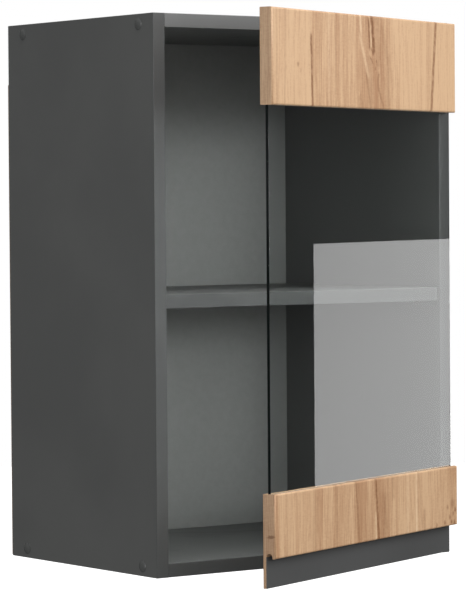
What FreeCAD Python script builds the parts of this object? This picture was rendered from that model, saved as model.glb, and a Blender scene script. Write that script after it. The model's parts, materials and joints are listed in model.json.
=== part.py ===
import FreeCAD, Part
import os
import re
import Sketcher

# Hanging wall cabinet: a melamine-faced carcass with one loose shelf, closed by one
# door of glass held between two oak-decor rails and hung on two cup hinges.
#
# Row frame, in millimetres: +X to the right, +Y to the wall, +Z up. The origin is the
# centre of the four wall-plate screw holes, on the wall's plane.

Vector = FreeCAD.Vector

doc = FreeCAD.newDocument("hanging_cabinet")
sheet = doc.addObject("Spreadsheet::Sheet", "dims")

DIMENSIONS = [
    # carcass
    ("overall_width", 484),
    ("overall_height", 720),
    ("side_depth", 347),
    ("board", 18),
    ("edge_band", 1),
    ("band_round", 0.8),
    ("back_thickness", 3),
    ("back_inset", 1),
    ("top_over_holes", 55),
    # shelf
    ("shelf_height", 361.5),
    ("shelf_setback", 3),
    ("shelf_back_gap", 2),
    ("shelf_side_gap", 1.5),
    ("peg_diameter", 5),
    ("peg_insert", 8.5),
    ("peg_reach", 8),
    ("peg_collar", 8),
    ("peg_collar_thickness", 1),
    ("peg_from_edge", 45),
    # carcass joints
    ("screw_from_front", 33),
    ("screw_from_back", 37),
    ("screw_from_edge", 13),
    ("screw_length", 50),
    ("screw_thread", 5),
    ("screw_shank", 7),
    ("screw_shank_end", 14),
    ("screw_head", 10),
    ("screw_head_thickness", 3),
    ("screw_socket", 4),
    ("screw_socket_depth", 2.4),
    ("cap_diameter", 15.5),
    ("cap_rim", 0.7),
    ("cap_dome", 1.5),
    ("cap_stem", 3.2),
    ("cap_stem_length", 2),
    ("dowel_diameter", 8),
    ("dowel_length", 34),
    ("dowel_in_side", 11),
    ("dowel_from_front", 110),
    ("dowel_from_back", 112),
    ("nail_diameter", 1.4),
    ("nail_length", 20),
    ("nail_head", 3),
    ("nail_head_thickness", 0.6),
    ("nail_from_edge", 9),
    ("nail_end_margin", 110),
    # door
    ("door_reveal", 1.5),
    ("door_end_gap", 2),
    ("door_gap", 2),
    ("door_thickness", 18),
    ("rail_corner", 2.5),
    ("rail_back_corner", 1),
    ("top_rail_height", 120),
    ("bottom_rail_top", 117),
    ("rail_face_bottom", 37),
    ("nose_thickness", 4.4),
    ("lip_thickness", 5.2),
    ("grip_strip", 0.6),
    ("glass_thickness", 4),
    ("glass_groove_depth", 12),
    ("glass_left_inset", 1.2),
    ("glass_right_inset", 6.5),
    ("channel_wall", 0.8),
    ("bumper_diameter", 8),
    ("bumper_thickness", 1.4),
    ("bumper_from_end", 9),
    ("bumper_from_edge", 30),
    # door swing
    ("ajar_angle", 22.3),
    ("pivot_from_end", 6),
    ("pivot_from_back", 12),
    # hinges
    ("upper_hinge_drop", 60),
    ("lower_hinge_rise", 75),
    ("cup_diameter", 35),
    ("cup_depth", 11.5),
    ("cup_wall", 1),
    ("cup_from_end", 22.5),
    ("cup_flange_length", 58),
    ("cup_flange_width", 16),
    ("cup_flange_offset", 9.5),
    ("cup_flange_thickness", 1.1),
    ("cup_screw_spacing", 45),
    ("cup_screw_diameter", 3.5),
    ("cup_screw_head", 6.4),
    ("cup_screw_length", 11),
    ("arm_setoff", 8),
    ("arm_width", 12),
    ("arm_height", 14),
    ("arm_wall", 1.5),
    ("arm_nose", 10.5),
    ("arm_tail", 62),
    ("link_pin_diameter", 3),
    ("link_pin_setoff", 15.5),
    ("link_pin_front", 7.5),
    ("link_length", 21.5),
    ("link_thickness", 2.4),
    ("link_height", 9),
    ("link_eye", 5.4),
    ("link_pin_clearance", 0.05),
    ("link_closed_angle", 2),
    ("link_ratio", -0.45),
    ("plate_from_front", 37),
    ("plate_length", 52),
    ("plate_width", 17),
    ("plate_thickness", 2),
    ("plate_block_front", 18),
    ("plate_block_back", 60),
    ("plate_block_clearance", 0.3),
    ("plate_screw_spacing", 32),
    ("plate_screw_diameter", 5),
    ("plate_screw_head", 7.6),
    ("plate_screw_length", 13),
    ("small_head_thickness", 1.4),
    ("arm_screw_diameter", 4),
    ("arm_screw_head", 7),
    ("arm_screw_length", 8),
    ("arm_screw_front", 27),
    ("arm_screw_back", 50),
    # wall hangers
    ("hanger_from_back", 12),
    ("hanger_depth", 44),
    ("hanger_width", 16),
    ("hanger_height", 58),
    ("hanger_under_top", 1),
    ("hanger_wall", 2.5),
    ("hanger_peg", 10),
    ("hanger_peg_length", 11),
    ("hanger_peg_spacing", 32),
    ("hook_thickness", 8),
    ("hook_bar", 14),
    ("hook_tooth", 2.4),
    ("hook_drop", 12),
    ("hook_clearance", 0.4),
    ("hanger_screw_diameter", 6),
    ("hanger_screw_length", 9),
    ("hanger_screw_recess", 0.5),
    ("hanger_screw_spacing", 24),
    ("cover_wall", 1.4),
    ("cover_hole_margin", 0.5),
    ("wall_plate_side_gap", 1),
    ("wall_plate_width", 36),
    ("wall_plate_thickness", 2),
    ("wall_plate_low", 21),
    ("wall_plate_jog", 16),
    ("wall_plate_offset", 4),
    ("wall_hole_inset", 13),
    ("wall_hole_spacing", 25),
    ("wall_hole_diameter", 6),
    ("notch_margin", 3),
]

for row, (alias, value) in enumerate(DIMENSIONS, start=1):
    sheet.set(f"A{row}", alias.replace("_", " "))
    sheet.set(f"B{row}", str(value))
    sheet.setAlias(f"B{row}", alias)
doc.recompute()

ALIASES = {alias for alias, value in DIMENSIONS}
probe = doc.addObject("App::FeaturePython", "probe")


def link(text):
    """An expression with each name of the sheet made a reference to its cell."""
    return re.sub(r"[a-z_]+", lambda word: "dims." + word[0] if word[0] in ALIASES else word[0],
                  str(text))


def number(text):
    """The value that an expression has now."""
    return float(probe.evalExpression(link(text)))


# Lengths that follow from the driving dimensions, as expressions.

LEFT = "(-overall_width / 2)"
RIGHT = "(overall_width / 2)"
FRONT = "(-back_thickness - side_depth)"
BOTTOM = "(top_over_holes - overall_height)"
INNER_LEFT = f"({LEFT} + board)"
INNER_RIGHT = f"({RIGHT} - board)"
INNER_WIDTH = "(overall_width - 2 * board)"
BOARD_DEPTH = "(side_depth - edge_band)"
UNDER_TOP = "(top_over_holes - board)"
SHELF_TOP = f"({BOTTOM} + shelf_height)"
SHELF_DEPTH = "(side_depth - shelf_setback - shelf_back_gap)"
SHELF_WIDTH = "(overall_width - 2 * board - 2 * shelf_side_gap)"

DOOR_WIDTH = "(overall_width - 2 * door_reveal)"
DOOR_HEIGHT = "(overall_height - 2 * door_end_gap)"
PIVOT_X = f"({RIGHT} - door_reveal - pivot_from_end)"
PIVOT_Y = f"({FRONT} - door_gap - pivot_from_back)"
DOOR_BOTTOM = f"({BOTTOM} + door_end_gap)"
UPPER_HINGE = f"({DOOR_HEIGHT} - upper_hinge_drop)"
LOWER_HINGE = "lower_hinge_rise"

HANGER_TOP = f"({UNDER_TOP} - hanger_under_top)"
HANGER_BOTTOM = f"({HANGER_TOP} - hanger_height)"


# ---------------------------------------------------------------- how pieces are made

def place(piece, x=0, y=0, z=0, axis=(0, 0, 1), angle=0):
    """Bind a piece's Placement to a position and a turn about an axis."""
    turn = "create(<<rotation>>; create(<<vector>>; {}; {}; {}); {})".format(*axis, link(angle))
    spot = f"create(<<vector>>; {link(x)}; {link(y)}; {link(z)})"
    piece.setExpression("Placement", f"create(<<placement>>; {spot}; {turn})")


def place_on_door(piece):
    """The door's pieces are drawn from its lower left front corner, closed, and stand ajar."""
    reach = f"({DOOR_WIDTH} - pivot_from_end)"
    inward = "(door_thickness - pivot_from_back)"
    turn = "(ajar_angle * 1deg)"
    place(piece,
          f"{PIVOT_X} - {reach} * cos({turn}) + {inward} * sin({turn})",
          f"{PIVOT_Y} - {reach} * sin({turn}) - {inward} * cos({turn})",
          DOOR_BOTTOM, angle="ajar_angle")


def new_body(label):
    body = doc.addObject("PartDesign::Body", label)
    body.Label = label
    return body


def new_sketch(body, name, plane, offset=0):
    """A sketch on one of the body's own origin planes, moved along that plane's normal."""
    sketch = body.newObject("Sketcher::SketchObject", name)
    origin_plane = next(f for f in body.Origin.OriginFeatures if f.Role == plane)
    sketch.AttachmentSupport = [(origin_plane, "")]
    sketch.MapMode = "FlatFace"
    sketch.setExpression("AttachmentOffset.Base.z", link(offset))
    return sketch


def pin_point(sketch, edge, end, across, up):
    """Fix a point of the sketch by two bound distances from its origin."""
    for kind, text in (("DistanceX", across), ("DistanceY", up)):
        rule = Sketcher.Constraint(kind, -1, 1, edge, end, number(text))
        sketch.setExpression(f"Constraints[{sketch.addConstraint(rule)}]", link(text))


def outline(sketch, corners):
    """A closed outline of straight edges through corners given as expressions."""
    points = [Vector(number(x), number(y), 0) for x, y in corners]
    first = sketch.GeometryCount
    count = len(points)
    for i in range(count):
        sketch.addGeometry(Part.LineSegment(points[i], points[(i + 1) % count]))
    for i in range(count):
        following = first + (i + 1) % count
        sketch.addConstraint(Sketcher.Constraint("Coincident", first + i, 2, following, 1))
        pin_point(sketch, first + i, 1, *corners[i])


def rectangle(sketch, left, low, right, high):
    outline(sketch, [(left, low), (right, low), (right, high), (left, high)])


def circle(sketch, across, up, diameter):
    centre = Vector(number(across), number(up), 0)
    edge = sketch.addGeometry(Part.Circle(centre, Vector(0, 0, 1), number(diameter) / 2))
    pin_point(sketch, edge, 3, across, up)
    rule = sketch.addConstraint(Sketcher.Constraint("Diameter", edge, number(diameter)))
    sketch.setExpression(f"Constraints[{rule}]", link(diameter))


def pad(body, sketch, length, reverse=False):
    feature = body.newObject("PartDesign::Pad", sketch.Name + "_pad")
    feature.Profile = sketch
    feature.setExpression("Length", link(length))
    feature.Reversed = reverse
    body.Tip = feature
    return feature


def pocket(body, sketch, depth, reverse=False):
    """Cut a sketch against its plane's normal, or along it when reversed."""
    feature = body.newObject("PartDesign::Pocket", sketch.Name + "_cut")
    feature.Profile = sketch
    feature.setExpression("Length", link(depth))
    feature.Reversed = reverse
    body.Tip = feature
    return feature


def drill(body, name, plane, offset, points, diameter, depth, reverse=False):
    """Round holes of one size, started from one plane."""
    sketch = new_sketch(body, name, plane, offset)
    for across, up in points:
        circle(sketch, across, up, diameter)
    return pocket(body, sketch, depth, reverse)


def board_body(label, width, depth, height):
    """A board drawn from its lower left front corner."""
    body = new_body(label)
    sketch = new_sketch(body, label + "_outline", "XY_Plane")
    rectangle(sketch, 0, 0, width, depth)
    pad(body, sketch, height)
    return body


def soften(body, plane, radius, shortest=0):
    """Round the edges that lie in one plane across Y, leaving out those under a length."""
    doc.recompute()
    solid = body.Tip
    level = number(plane)
    edges = []
    for i, edge in enumerate(solid.Shape.Edges, start=1):
        span = edge.BoundBox
        in_plane = abs(span.YMin - level) < 1e-6 and abs(span.YMax - level) < 1e-6
        if in_plane and edge.Length > shortest:
            edges.append(f"Edge{i}")
    feature = body.newObject("PartDesign::Fillet", f"{body.Name}_round_{len(body.Group)}")
    feature.Base = (solid, edges)
    feature.setExpression("Radius", link(radius))
    body.Tip = feature


def box(name, width, depth, height, x, y, z):
    piece = doc.addObject("Part::Box", name)
    for side, text in (("Length", width), ("Width", depth), ("Height", height)):
        piece.setExpression(side, link(text))
    place(piece, x, y, z)
    return piece


DIRECTIONS = {
    "+X": ((0, 1, 0), 90),
    "-X": ((0, 1, 0), -90),
    "+Y": ((1, 0, 0), -90),
    "-Y": ((1, 0, 0), 90),
    "+Z": ((0, 0, 1), 0),
}


def cylinder(name, diameter, length, direction, x, y, z):
    piece = doc.addObject("Part::Cylinder", name)
    piece.setExpression("Radius", link(f"({diameter}) / 2"))
    piece.setExpression("Height", link(length))
    axis, angle = DIRECTIONS[direction]
    place(piece, x, y, z, axis, angle)
    return piece


def fuse(name, pieces):
    joined = doc.addObject("Part::MultiFuse", name)
    joined.Shapes = pieces
    return joined


def cut(name, base, tool):
    result = doc.addObject("Part::Cut", name)
    result.Base = base
    result.Tool = tool
    return result


def group(label, pieces):
    """Separate solids that share one node, such as the same screw in several places."""
    together = doc.addObject("Part::Compound", label)
    together.Label = label
    together.Links = pieces
    return together


def named(label, piece):
    piece.Label = label
    return piece


def mirrored(label, piece):
    """The left-hand twin of a right-hand piece."""
    twin = doc.addObject("Part::Mirroring", label)
    twin.Label = label
    twin.Source = piece
    twin.Base = Vector(0, 0, 0)
    twin.Normal = Vector(1, 0, 0)
    return twin


nodes = []


# ---------------------------------------------------------------- carcass boards

# Where the two carcass screws and the two dowels of each corner lie, from the front of
# the board behind its edge band.
SCREW_DEPTHS = ("screw_from_front - edge_band", f"{BOARD_DEPTH} - screw_from_back")
DOWEL_DEPTHS = ("dowel_from_front - edge_band", f"{BOARD_DEPTH} - dowel_from_back")
SCREW_HEIGHTS = ("screw_from_edge", "overall_height - screw_from_edge")
DOWEL_HEIGHTS = ("board / 2", "overall_height - board / 2")
PEG_DEPTHS = ("peg_from_edge", f"{BOARD_DEPTH} - peg_from_edge")
PEG_HEIGHT = "(shelf_height - board - peg_diameter / 2)"
HANGER_MIDDLE = f"({HANGER_BOTTOM} + hanger_height / 2 - {BOTTOM})"
HANGER_PEG_DEPTH = f"({BOARD_DEPTH} - hanger_from_back + back_thickness - hanger_depth / 2)"


def side_panel(label, side):
    """A full-height side: drilled through for screws and blind inside for the fittings."""
    body = board_body(label, "board", BOARD_DEPTH, "overall_height")
    outer, inner, inward = ("0", "board", True) if side == "left" else ("board", "0", False)
    spots = [(depth, height) for depth in SCREW_DEPTHS for height in SCREW_HEIGHTS]
    drill(body, label + "_shanks", "YZ_Plane", outer, spots, "screw_shank", "board", inward)
    drill(body, label + "_heads", "YZ_Plane", outer, spots, "screw_head",
          "screw_head_thickness", inward)
    spots = [(depth, height) for depth in DOWEL_DEPTHS for height in DOWEL_HEIGHTS]
    drill(body, label + "_dowels", "YZ_Plane", inner, spots, "dowel_diameter",
          "dowel_in_side", not inward)
    spots = [(depth, PEG_HEIGHT) for depth in PEG_DEPTHS]
    drill(body, label + "_pegs", "YZ_Plane", inner, spots, "peg_diameter", "peg_insert",
          not inward)
    spots = [(HANGER_PEG_DEPTH, f"{HANGER_MIDDLE} {sign} hanger_peg_spacing / 2")
             for sign in "+-"]
    drill(body, label + "_hanger", "YZ_Plane", inner, spots, "hanger_peg",
          "hanger_peg_length", not inward)
    if side == "right":
        spots = [("plate_from_front - edge_band",
                  f"door_end_gap + {height} {sign} plate_screw_spacing / 2")
                 for height in (UPPER_HINGE, LOWER_HINGE) for sign in "+-"]
        drill(body, label + "_plates", "YZ_Plane", inner, spots, "plate_screw_diameter",
              "plate_screw_length - plate_thickness", not inward)
    place(body, LEFT if side == "left" else INNER_RIGHT, f"{FRONT} + edge_band", BOTTOM)
    return body


nodes.append(side_panel("left_side_panel", "left"))
nodes.append(side_panel("right_side_panel", "right"))


def cross_panel(label, low, screw_height):
    """Top or bottom, held between the sides by screws and dowels in its two ends."""
    body = board_body(label, INNER_WIDTH, BOARD_DEPTH, "board")
    screw_spots = [(depth, screw_height) for depth in SCREW_DEPTHS]
    dowel_spots = [(depth, "board / 2") for depth in DOWEL_DEPTHS]
    for end, start, inward in (("left", "0", True), ("right", INNER_WIDTH, False)):
        drill(body, f"{label}_{end}_screws", "YZ_Plane", start, screw_spots, "screw_thread",
              "screw_length - board", inward)
        drill(body, f"{label}_{end}_dowels", "YZ_Plane", start, dowel_spots, "dowel_diameter",
              "dowel_length - dowel_in_side", inward)
    place(body, INNER_LEFT, f"{FRONT} + edge_band", low)
    return body


nodes.append(cross_panel("top_panel", UNDER_TOP, "board - screw_from_edge"))
nodes.append(cross_panel("bottom_panel", BOTTOM, "screw_from_edge"))

shelf = board_body("shelf", SHELF_WIDTH, f"{SHELF_DEPTH} - edge_band", "board")
place(shelf, f"{INNER_LEFT} + shelf_side_gap", f"{FRONT} + shelf_setback + edge_band",
      f"{SHELF_TOP} - board")
nodes.append(shelf)

# The thin back is nailed on behind and notched at its top corners for the wall plates.
back = new_body("back_panel")
back_sketch = new_sketch(back, "back_outline", "XZ_Plane")
BACK_WIDTH = "(overall_width - 2 * back_inset)"
BACK_HEIGHT = "(overall_height - 2 * back_inset)"
NOTCH_WIDTH = "(board + wall_plate_side_gap + wall_plate_width + notch_margin)"
NOTCH_LOW = f"({BACK_HEIGHT} - top_over_holes - wall_plate_low - notch_margin)"
outline(back_sketch, [
    ("0", "0"), (BACK_WIDTH, "0"),
    (BACK_WIDTH, NOTCH_LOW), (f"{BACK_WIDTH} - {NOTCH_WIDTH}", NOTCH_LOW),
    (f"{BACK_WIDTH} - {NOTCH_WIDTH}", BACK_HEIGHT), (NOTCH_WIDTH, BACK_HEIGHT),
    (NOTCH_WIDTH, NOTCH_LOW), ("0", NOTCH_LOW),
])
pad(back, back_sketch, "back_thickness")
NAILS_UP = 5
NAILS_ACROSS = 3
NAIL_RUN = f"({NOTCH_LOW} - nail_end_margin / 2)"
nail_spots = []
for i in range(NAILS_UP):
    height = f"(nail_end_margin / 2 + ({NAIL_RUN} - nail_end_margin / 2) * {i} / {NAILS_UP - 1})"
    nail_spots.append(("nail_from_edge - back_inset", height))
    nail_spots.append((f"{BACK_WIDTH} - nail_from_edge + back_inset", height))
for i in range(NAILS_ACROSS):
    across = (f"(nail_end_margin + ({BACK_WIDTH} - 2 * nail_end_margin)"
              f" * {i} / {NAILS_ACROSS - 1})")
    nail_spots.append((across, "nail_from_edge - back_inset"))
    nail_spots.append((across, f"{BACK_HEIGHT} - nail_from_edge + back_inset"))
drill(back, "nail_holes", "XZ_Plane", 0, nail_spots, "nail_diameter", "back_thickness", True)
drill(back, "nail_head_seats", "XZ_Plane", 0, nail_spots, "nail_head",
      "nail_head_thickness", True)
place(back, f"{LEFT} + back_inset", 0, f"{BOTTOM} + back_inset")
nodes.append(back)

# Edge bands, glued to the front edges, with their two long arrises rounded.


def edge_band(label, width, height, x, y, z):
    body = board_body(label, width, "edge_band", height)
    soften(body, "0", "band_round", number("board") + 1)
    place(body, x, y, z)
    return body


for side, x in (("left", LEFT), ("right", INNER_RIGHT)):
    nodes.append(edge_band(f"{side}_side_edge_band", "board", "overall_height",
                           x, FRONT, BOTTOM))
for level, z in (("top", UNDER_TOP), ("bottom", BOTTOM)):
    nodes.append(edge_band(f"{level}_edge_band", INNER_WIDTH, "board", INNER_LEFT, FRONT, z))
nodes.append(edge_band("shelf_edge_band", SHELF_WIDTH, "board",
                       f"{INNER_LEFT} + shelf_side_gap", f"{FRONT} + shelf_setback",
                       f"{SHELF_TOP} - board"))

# ---------------------------------------------------------------- carcass fasteners

CORNER_SCREWS = [(f"{FRONT} + screw_from_front", f"{BOTTOM} + screw_from_edge"),
                 (f"{FRONT} + screw_from_front", "top_over_holes - screw_from_edge"),
                 ("-back_thickness - screw_from_back", f"{BOTTOM} + screw_from_edge"),
                 ("-back_thickness - screw_from_back", "top_over_holes - screw_from_edge")]
screws = []
caps = []
for side, edge, inward, outward in (("left", LEFT, "+X", "-X"), ("right", RIGHT, "-X", "+X")):
    sign = inward[0]
    for i, (depth, height) in enumerate(CORNER_SCREWS, start=1):
        name = f"carcass_screw_{side}_{i}"
        blank = fuse(name + "_blank", [
            cylinder(name + "_head", "screw_head", "screw_head_thickness", inward,
                     edge, depth, height),
            cylinder(name + "_shank", "screw_shank", "screw_shank_end", inward,
                     edge, depth, height),
            cylinder(name + "_thread", "screw_thread", "screw_length", inward,
                     edge, depth, height)])
        socket = doc.addObject("Part::Prism", name + "_socket")
        socket.Polygon = 6
        socket.setExpression("Circumradius", link("screw_socket / 2 / cos(30deg)"))
        socket.setExpression("Height", link("screw_socket_depth"))
        place(socket, edge, depth, height, *DIRECTIONS[inward])
        screws.append(cut(name, blank, socket))
        cap = f"screw_cap_{side}_{i}"
        dome = doc.addObject("Part::Sphere", cap + "_dome")
        ball = "((cap_diameter ^ 2 / 4 + cap_dome ^ 2) / (2 * cap_dome))"
        dome.setExpression("Radius", link(ball))
        dome.setExpression("Angle1", link(f"acos(cap_diameter / 2 / {ball})"))
        dome.Angle2 = 90
        place(dome, f"{edge} {sign} ({ball} - cap_dome - cap_rim)", depth, height,
              *DIRECTIONS[outward])
        caps.append(fuse(cap, [
            dome,
            cylinder(cap + "_rim", "cap_diameter", "cap_rim", outward, edge, depth, height),
            cylinder(cap + "_stem", "cap_stem", "cap_stem_length", inward,
                     edge, depth, height)]))
nodes.append(group("carcass_screws", screws))
nodes.append(group("screw_cover_caps", caps))

dowels = []
for side, start in (("left", f"{INNER_LEFT} - dowel_in_side"),
                    ("right", f"{INNER_RIGHT} + dowel_in_side - dowel_length")):
    for i, depth in enumerate((f"{FRONT} + dowel_from_front",
                               "-back_thickness - dowel_from_back"), start=1):
        for level, height in (("low", f"{BOTTOM} + board / 2"),
                              ("high", "top_over_holes - board / 2")):
            dowels.append(cylinder(f"dowel_{side}_{i}_{level}", "dowel_diameter",
                                   "dowel_length", "+X", start, depth, height))
nodes.append(group("wooden_dowels", dowels))

pegs = []
for side, wall, inward, outward in (("left", INNER_LEFT, "+X", "-X"),
                                    ("right", INNER_RIGHT, "-X", "+X")):
    for i, depth in enumerate((f"{FRONT} + edge_band + peg_from_edge",
                               "-back_thickness - peg_from_edge"), start=1):
        height = f"{BOTTOM} + {PEG_HEIGHT}"
        name = f"shelf_peg_{side}_{i}"
        pegs.append(fuse(name, [
            cylinder(name + "_insert", "peg_diameter", "peg_insert", outward,
                     wall, depth, height),
            cylinder(name + "_collar", "peg_collar", "peg_collar_thickness", inward,
                     wall, depth, height),
            cylinder(name + "_reach", "peg_diameter", "peg_reach", inward,
                     wall, depth, height)]))
nodes.append(group("shelf_support_pegs", pegs))

nails = []
for i, (across, up) in enumerate(nail_spots, start=1):
    x = f"{LEFT} + back_inset + {across}"
    z = f"{BOTTOM} + back_inset + {up}"
    name = f"back_nail_{i}"
    nails.append(fuse(name, [
        cylinder(name + "_head", "nail_head", "nail_head_thickness", "-Y", x, 0, z),
        cylinder(name + "_shank", "nail_diameter", "nail_length", "-Y", x, 0, z)]))
nodes.append(group("back_panel_nails", nails))

# ---------------------------------------------------------------- wall hangers

# Each hanger is a plastic housing pegged inside a top corner. Its steel hook reaches back
# through the notch in the back panel and drops behind the raised lip of a wall plate.
# They are drawn for the right-hand corner and mirrored for the left.

HOUSING_BACK = "(-hanger_from_back)"
HOUSING_FRONT = f"({HOUSING_BACK} - hanger_depth)"
HOUSING_LEFT = f"({INNER_RIGHT} - hanger_width)"
HOOK_TOP = f"({HANGER_TOP} - hanger_wall)"
HOOK_LOW = f"({HOOK_TOP} - hook_bar)"
HOOK_LEFT = f"({INNER_RIGHT} - hanger_width / 2 - hook_thickness / 2)"
HANGER_SCREW_X = f"({INNER_RIGHT} - hanger_width / 2)"
HANGER_SCREW_MID = f"({HANGER_BOTTOM} + hanger_height / 2)"

housing_block = box("housing_block", "hanger_width", "hanger_depth", "hanger_height",
                    HOUSING_LEFT, HOUSING_FRONT, HANGER_BOTTOM)
housing_pegs = [
    cylinder(f"housing_peg_{i}", "hanger_peg", "hanger_peg_length + hanger_wall / 2", "+X",
             f"{INNER_RIGHT} - hanger_wall / 2", f"{HOUSING_BACK} - hanger_depth / 2",
             f"{HANGER_SCREW_MID} {sign} hanger_peg_spacing / 2")
    for i, sign in enumerate("+-", start=1)]
housing_room = box("housing_room", "hanger_width - hanger_wall",
                   "hanger_depth - 2 * hanger_wall", "hanger_height - 2 * hanger_wall",
                   HOUSING_LEFT, f"{HOUSING_FRONT} + 2 * hanger_wall",
                   f"{HANGER_BOTTOM} + hanger_wall")
housing_screw_holes = [
    cylinder(f"housing_screw_hole_{i}", "hanger_screw_diameter", "2 * hanger_wall", "+Y",
             HANGER_SCREW_X, HOUSING_FRONT,
             f"{HANGER_SCREW_MID} {sign} hanger_screw_spacing / 2")
    for i, sign in enumerate("+-", start=1)]
right_housing = named("right_hanger_housing", cut(
    "right_hanger_housing", fuse("housing_blank", [housing_block] + housing_pegs),
    fuse("housing_openings", [housing_room] + housing_screw_holes)))

hook = new_body("right_hanger_hook")
hook_sketch = new_sketch(hook, "hook_outline", "YZ_Plane")
TOOTH_BACK = "(-hook_clearance)"
TOOTH_FRONT = f"({TOOTH_BACK} - hook_tooth)"
HOOK_FRONT = f"({HOUSING_FRONT} + 2 * hanger_wall + hanger_screw_length / 2)"
outline(hook_sketch, [
    (HOOK_FRONT, HOOK_LOW), (f"{HOUSING_BACK} - hanger_wall / 2", HOOK_LOW),
    (f"{HOUSING_BACK} - hanger_wall / 2", f"{HOOK_TOP} - hook_tooth"),
    (TOOTH_FRONT, f"{HOOK_TOP} - hook_tooth"),
    (TOOTH_FRONT, f"{HOOK_TOP} - hook_drop"), (TOOTH_BACK, f"{HOOK_TOP} - hook_drop"),
    (TOOTH_BACK, HOOK_TOP), (HOOK_FRONT, HOOK_TOP)])
pad(hook, hook_sketch, "hook_thickness")
place(hook, HOOK_LEFT)

right_cover = named("right_hanger_cover", cut(
    "right_hanger_cover",
    box("cover_block", "hanger_width + cover_wall", "hanger_depth + cover_wall",
        "hanger_height", f"{HOUSING_LEFT} - cover_wall", f"{HOUSING_FRONT} - cover_wall",
        HANGER_BOTTOM),
    fuse("cover_openings", [
        box("cover_room", "hanger_width", "hanger_depth", "hanger_height",
            HOUSING_LEFT, HOUSING_FRONT, HANGER_BOTTOM)] + [
        cylinder(f"cover_hole_{i}", "hanger_screw_diameter + 2 * cover_hole_margin",
                 "cover_wall", "+Y",
                 HANGER_SCREW_X, f"{HOUSING_FRONT} - cover_wall",
                 f"{HANGER_SCREW_MID} {sign} hanger_screw_spacing / 2")
        for i, sign in enumerate("+-", start=1)])))

right_hanger_screws = group("right_hanger_screws", [
    cylinder(f"hanger_screw_{i}", "hanger_screw_diameter", "hanger_screw_length", "+Y",
             HANGER_SCREW_X, f"{HOUSING_FRONT} + hanger_screw_recess",
             f"{HANGER_SCREW_MID} {sign} hanger_screw_spacing / 2")
    for i, sign in enumerate("+-", start=1)])

plate = new_body("right_wall_plate")
plate_sketch = new_sketch(plate, "wall_plate_profile", "YZ_Plane")
LIP_BACK = "(-wall_plate_offset)"
LIP_FRONT = "(-wall_plate_offset - wall_plate_thickness)"
LIP_TOP = f"({HOOK_TOP} - hook_tooth)"
outline(plate_sketch, [
    ("0", "-wall_plate_low"), ("0", "wall_plate_jog"),
    (LIP_BACK, "wall_plate_jog + wall_plate_thickness"), (LIP_BACK, LIP_TOP),
    (LIP_FRONT, LIP_TOP), (LIP_FRONT, "wall_plate_jog"),
    ("-wall_plate_thickness", "wall_plate_jog - wall_plate_thickness"),
    ("-wall_plate_thickness", "-wall_plate_low")])
pad(plate, plate_sketch, "wall_plate_width")
drill(plate, "wall_holes", "XZ_Plane", 0,
      [("wall_hole_inset", f"{sign} wall_hole_spacing / 2") for sign in "+-"],
      "wall_hole_diameter", "wall_plate_thickness", True)
place(plate, f"{INNER_RIGHT} - wall_plate_side_gap - wall_plate_width")

for piece in (right_housing, hook, right_cover, right_hanger_screws, plate):
    nodes.append(piece)
    nodes.append(mirrored(piece.Label.replace("right", "left"), piece))

# ---------------------------------------------------------------- door rails and glass

GROOVE_WIDTH = "(glass_thickness + 2 * channel_wall)"
GROOVE_FRONT = f"(door_thickness / 2 - {GROOVE_WIDTH} / 2)"
GROOVE_BACK = f"(door_thickness / 2 + {GROOVE_WIDTH} / 2)"
TOP_RAIL_BOTTOM = f"({DOOR_HEIGHT} - top_rail_height)"
GLASS_LEFT = "glass_left_inset"
GLASS_RIGHT = f"({DOOR_WIDTH} - glass_right_inset)"
CUP_X = f"({DOOR_WIDTH} - cup_from_end)"
CUP_SCREW_X = f"({CUP_X} - cup_flange_offset)"


def hinge_seats(body, label, height):
    """The cup's bore and its two screw holes, from the back of the door."""
    drill(body, label + "_cup_bore", "XZ_Plane", "-door_thickness", [(CUP_X, height)],
          "cup_diameter", "cup_depth", True)
    drill(body, label + "_cup_pilots", "XZ_Plane", "-door_thickness",
          [(CUP_SCREW_X, f"{height} {sign} cup_screw_spacing / 2") for sign in "+-"],
          "cup_screw_diameter", "cup_screw_length - cup_flange_thickness", True)


def glass_groove(body, label, low, high):
    """The groove for the glass, which stops just short of the door's free end."""
    sketch = new_sketch(body, label, "YZ_Plane", GLASS_LEFT)
    rectangle(sketch, GROOVE_FRONT, low, GROOVE_BACK, high)
    pocket(body, sketch, f"{DOOR_WIDTH} - {GLASS_LEFT}", True)


top_rail = new_body("top_rail")
top_rail_sketch = new_sketch(top_rail, "top_rail_profile", "YZ_Plane")
GROOVE_TOP = f"({TOP_RAIL_BOTTOM} + glass_groove_depth)"
rectangle(top_rail_sketch, "0", TOP_RAIL_BOTTOM, "door_thickness", DOOR_HEIGHT)
pad(top_rail, top_rail_sketch, DOOR_WIDTH)
glass_groove(top_rail, "top_glass_groove", TOP_RAIL_BOTTOM, GROOVE_TOP)
soften(top_rail, "0", "rail_corner")
soften(top_rail, "door_thickness", "rail_back_corner")
hinge_seats(top_rail, "upper", UPPER_HINGE)
place_on_door(top_rail)
nodes.append(top_rail)

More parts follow.
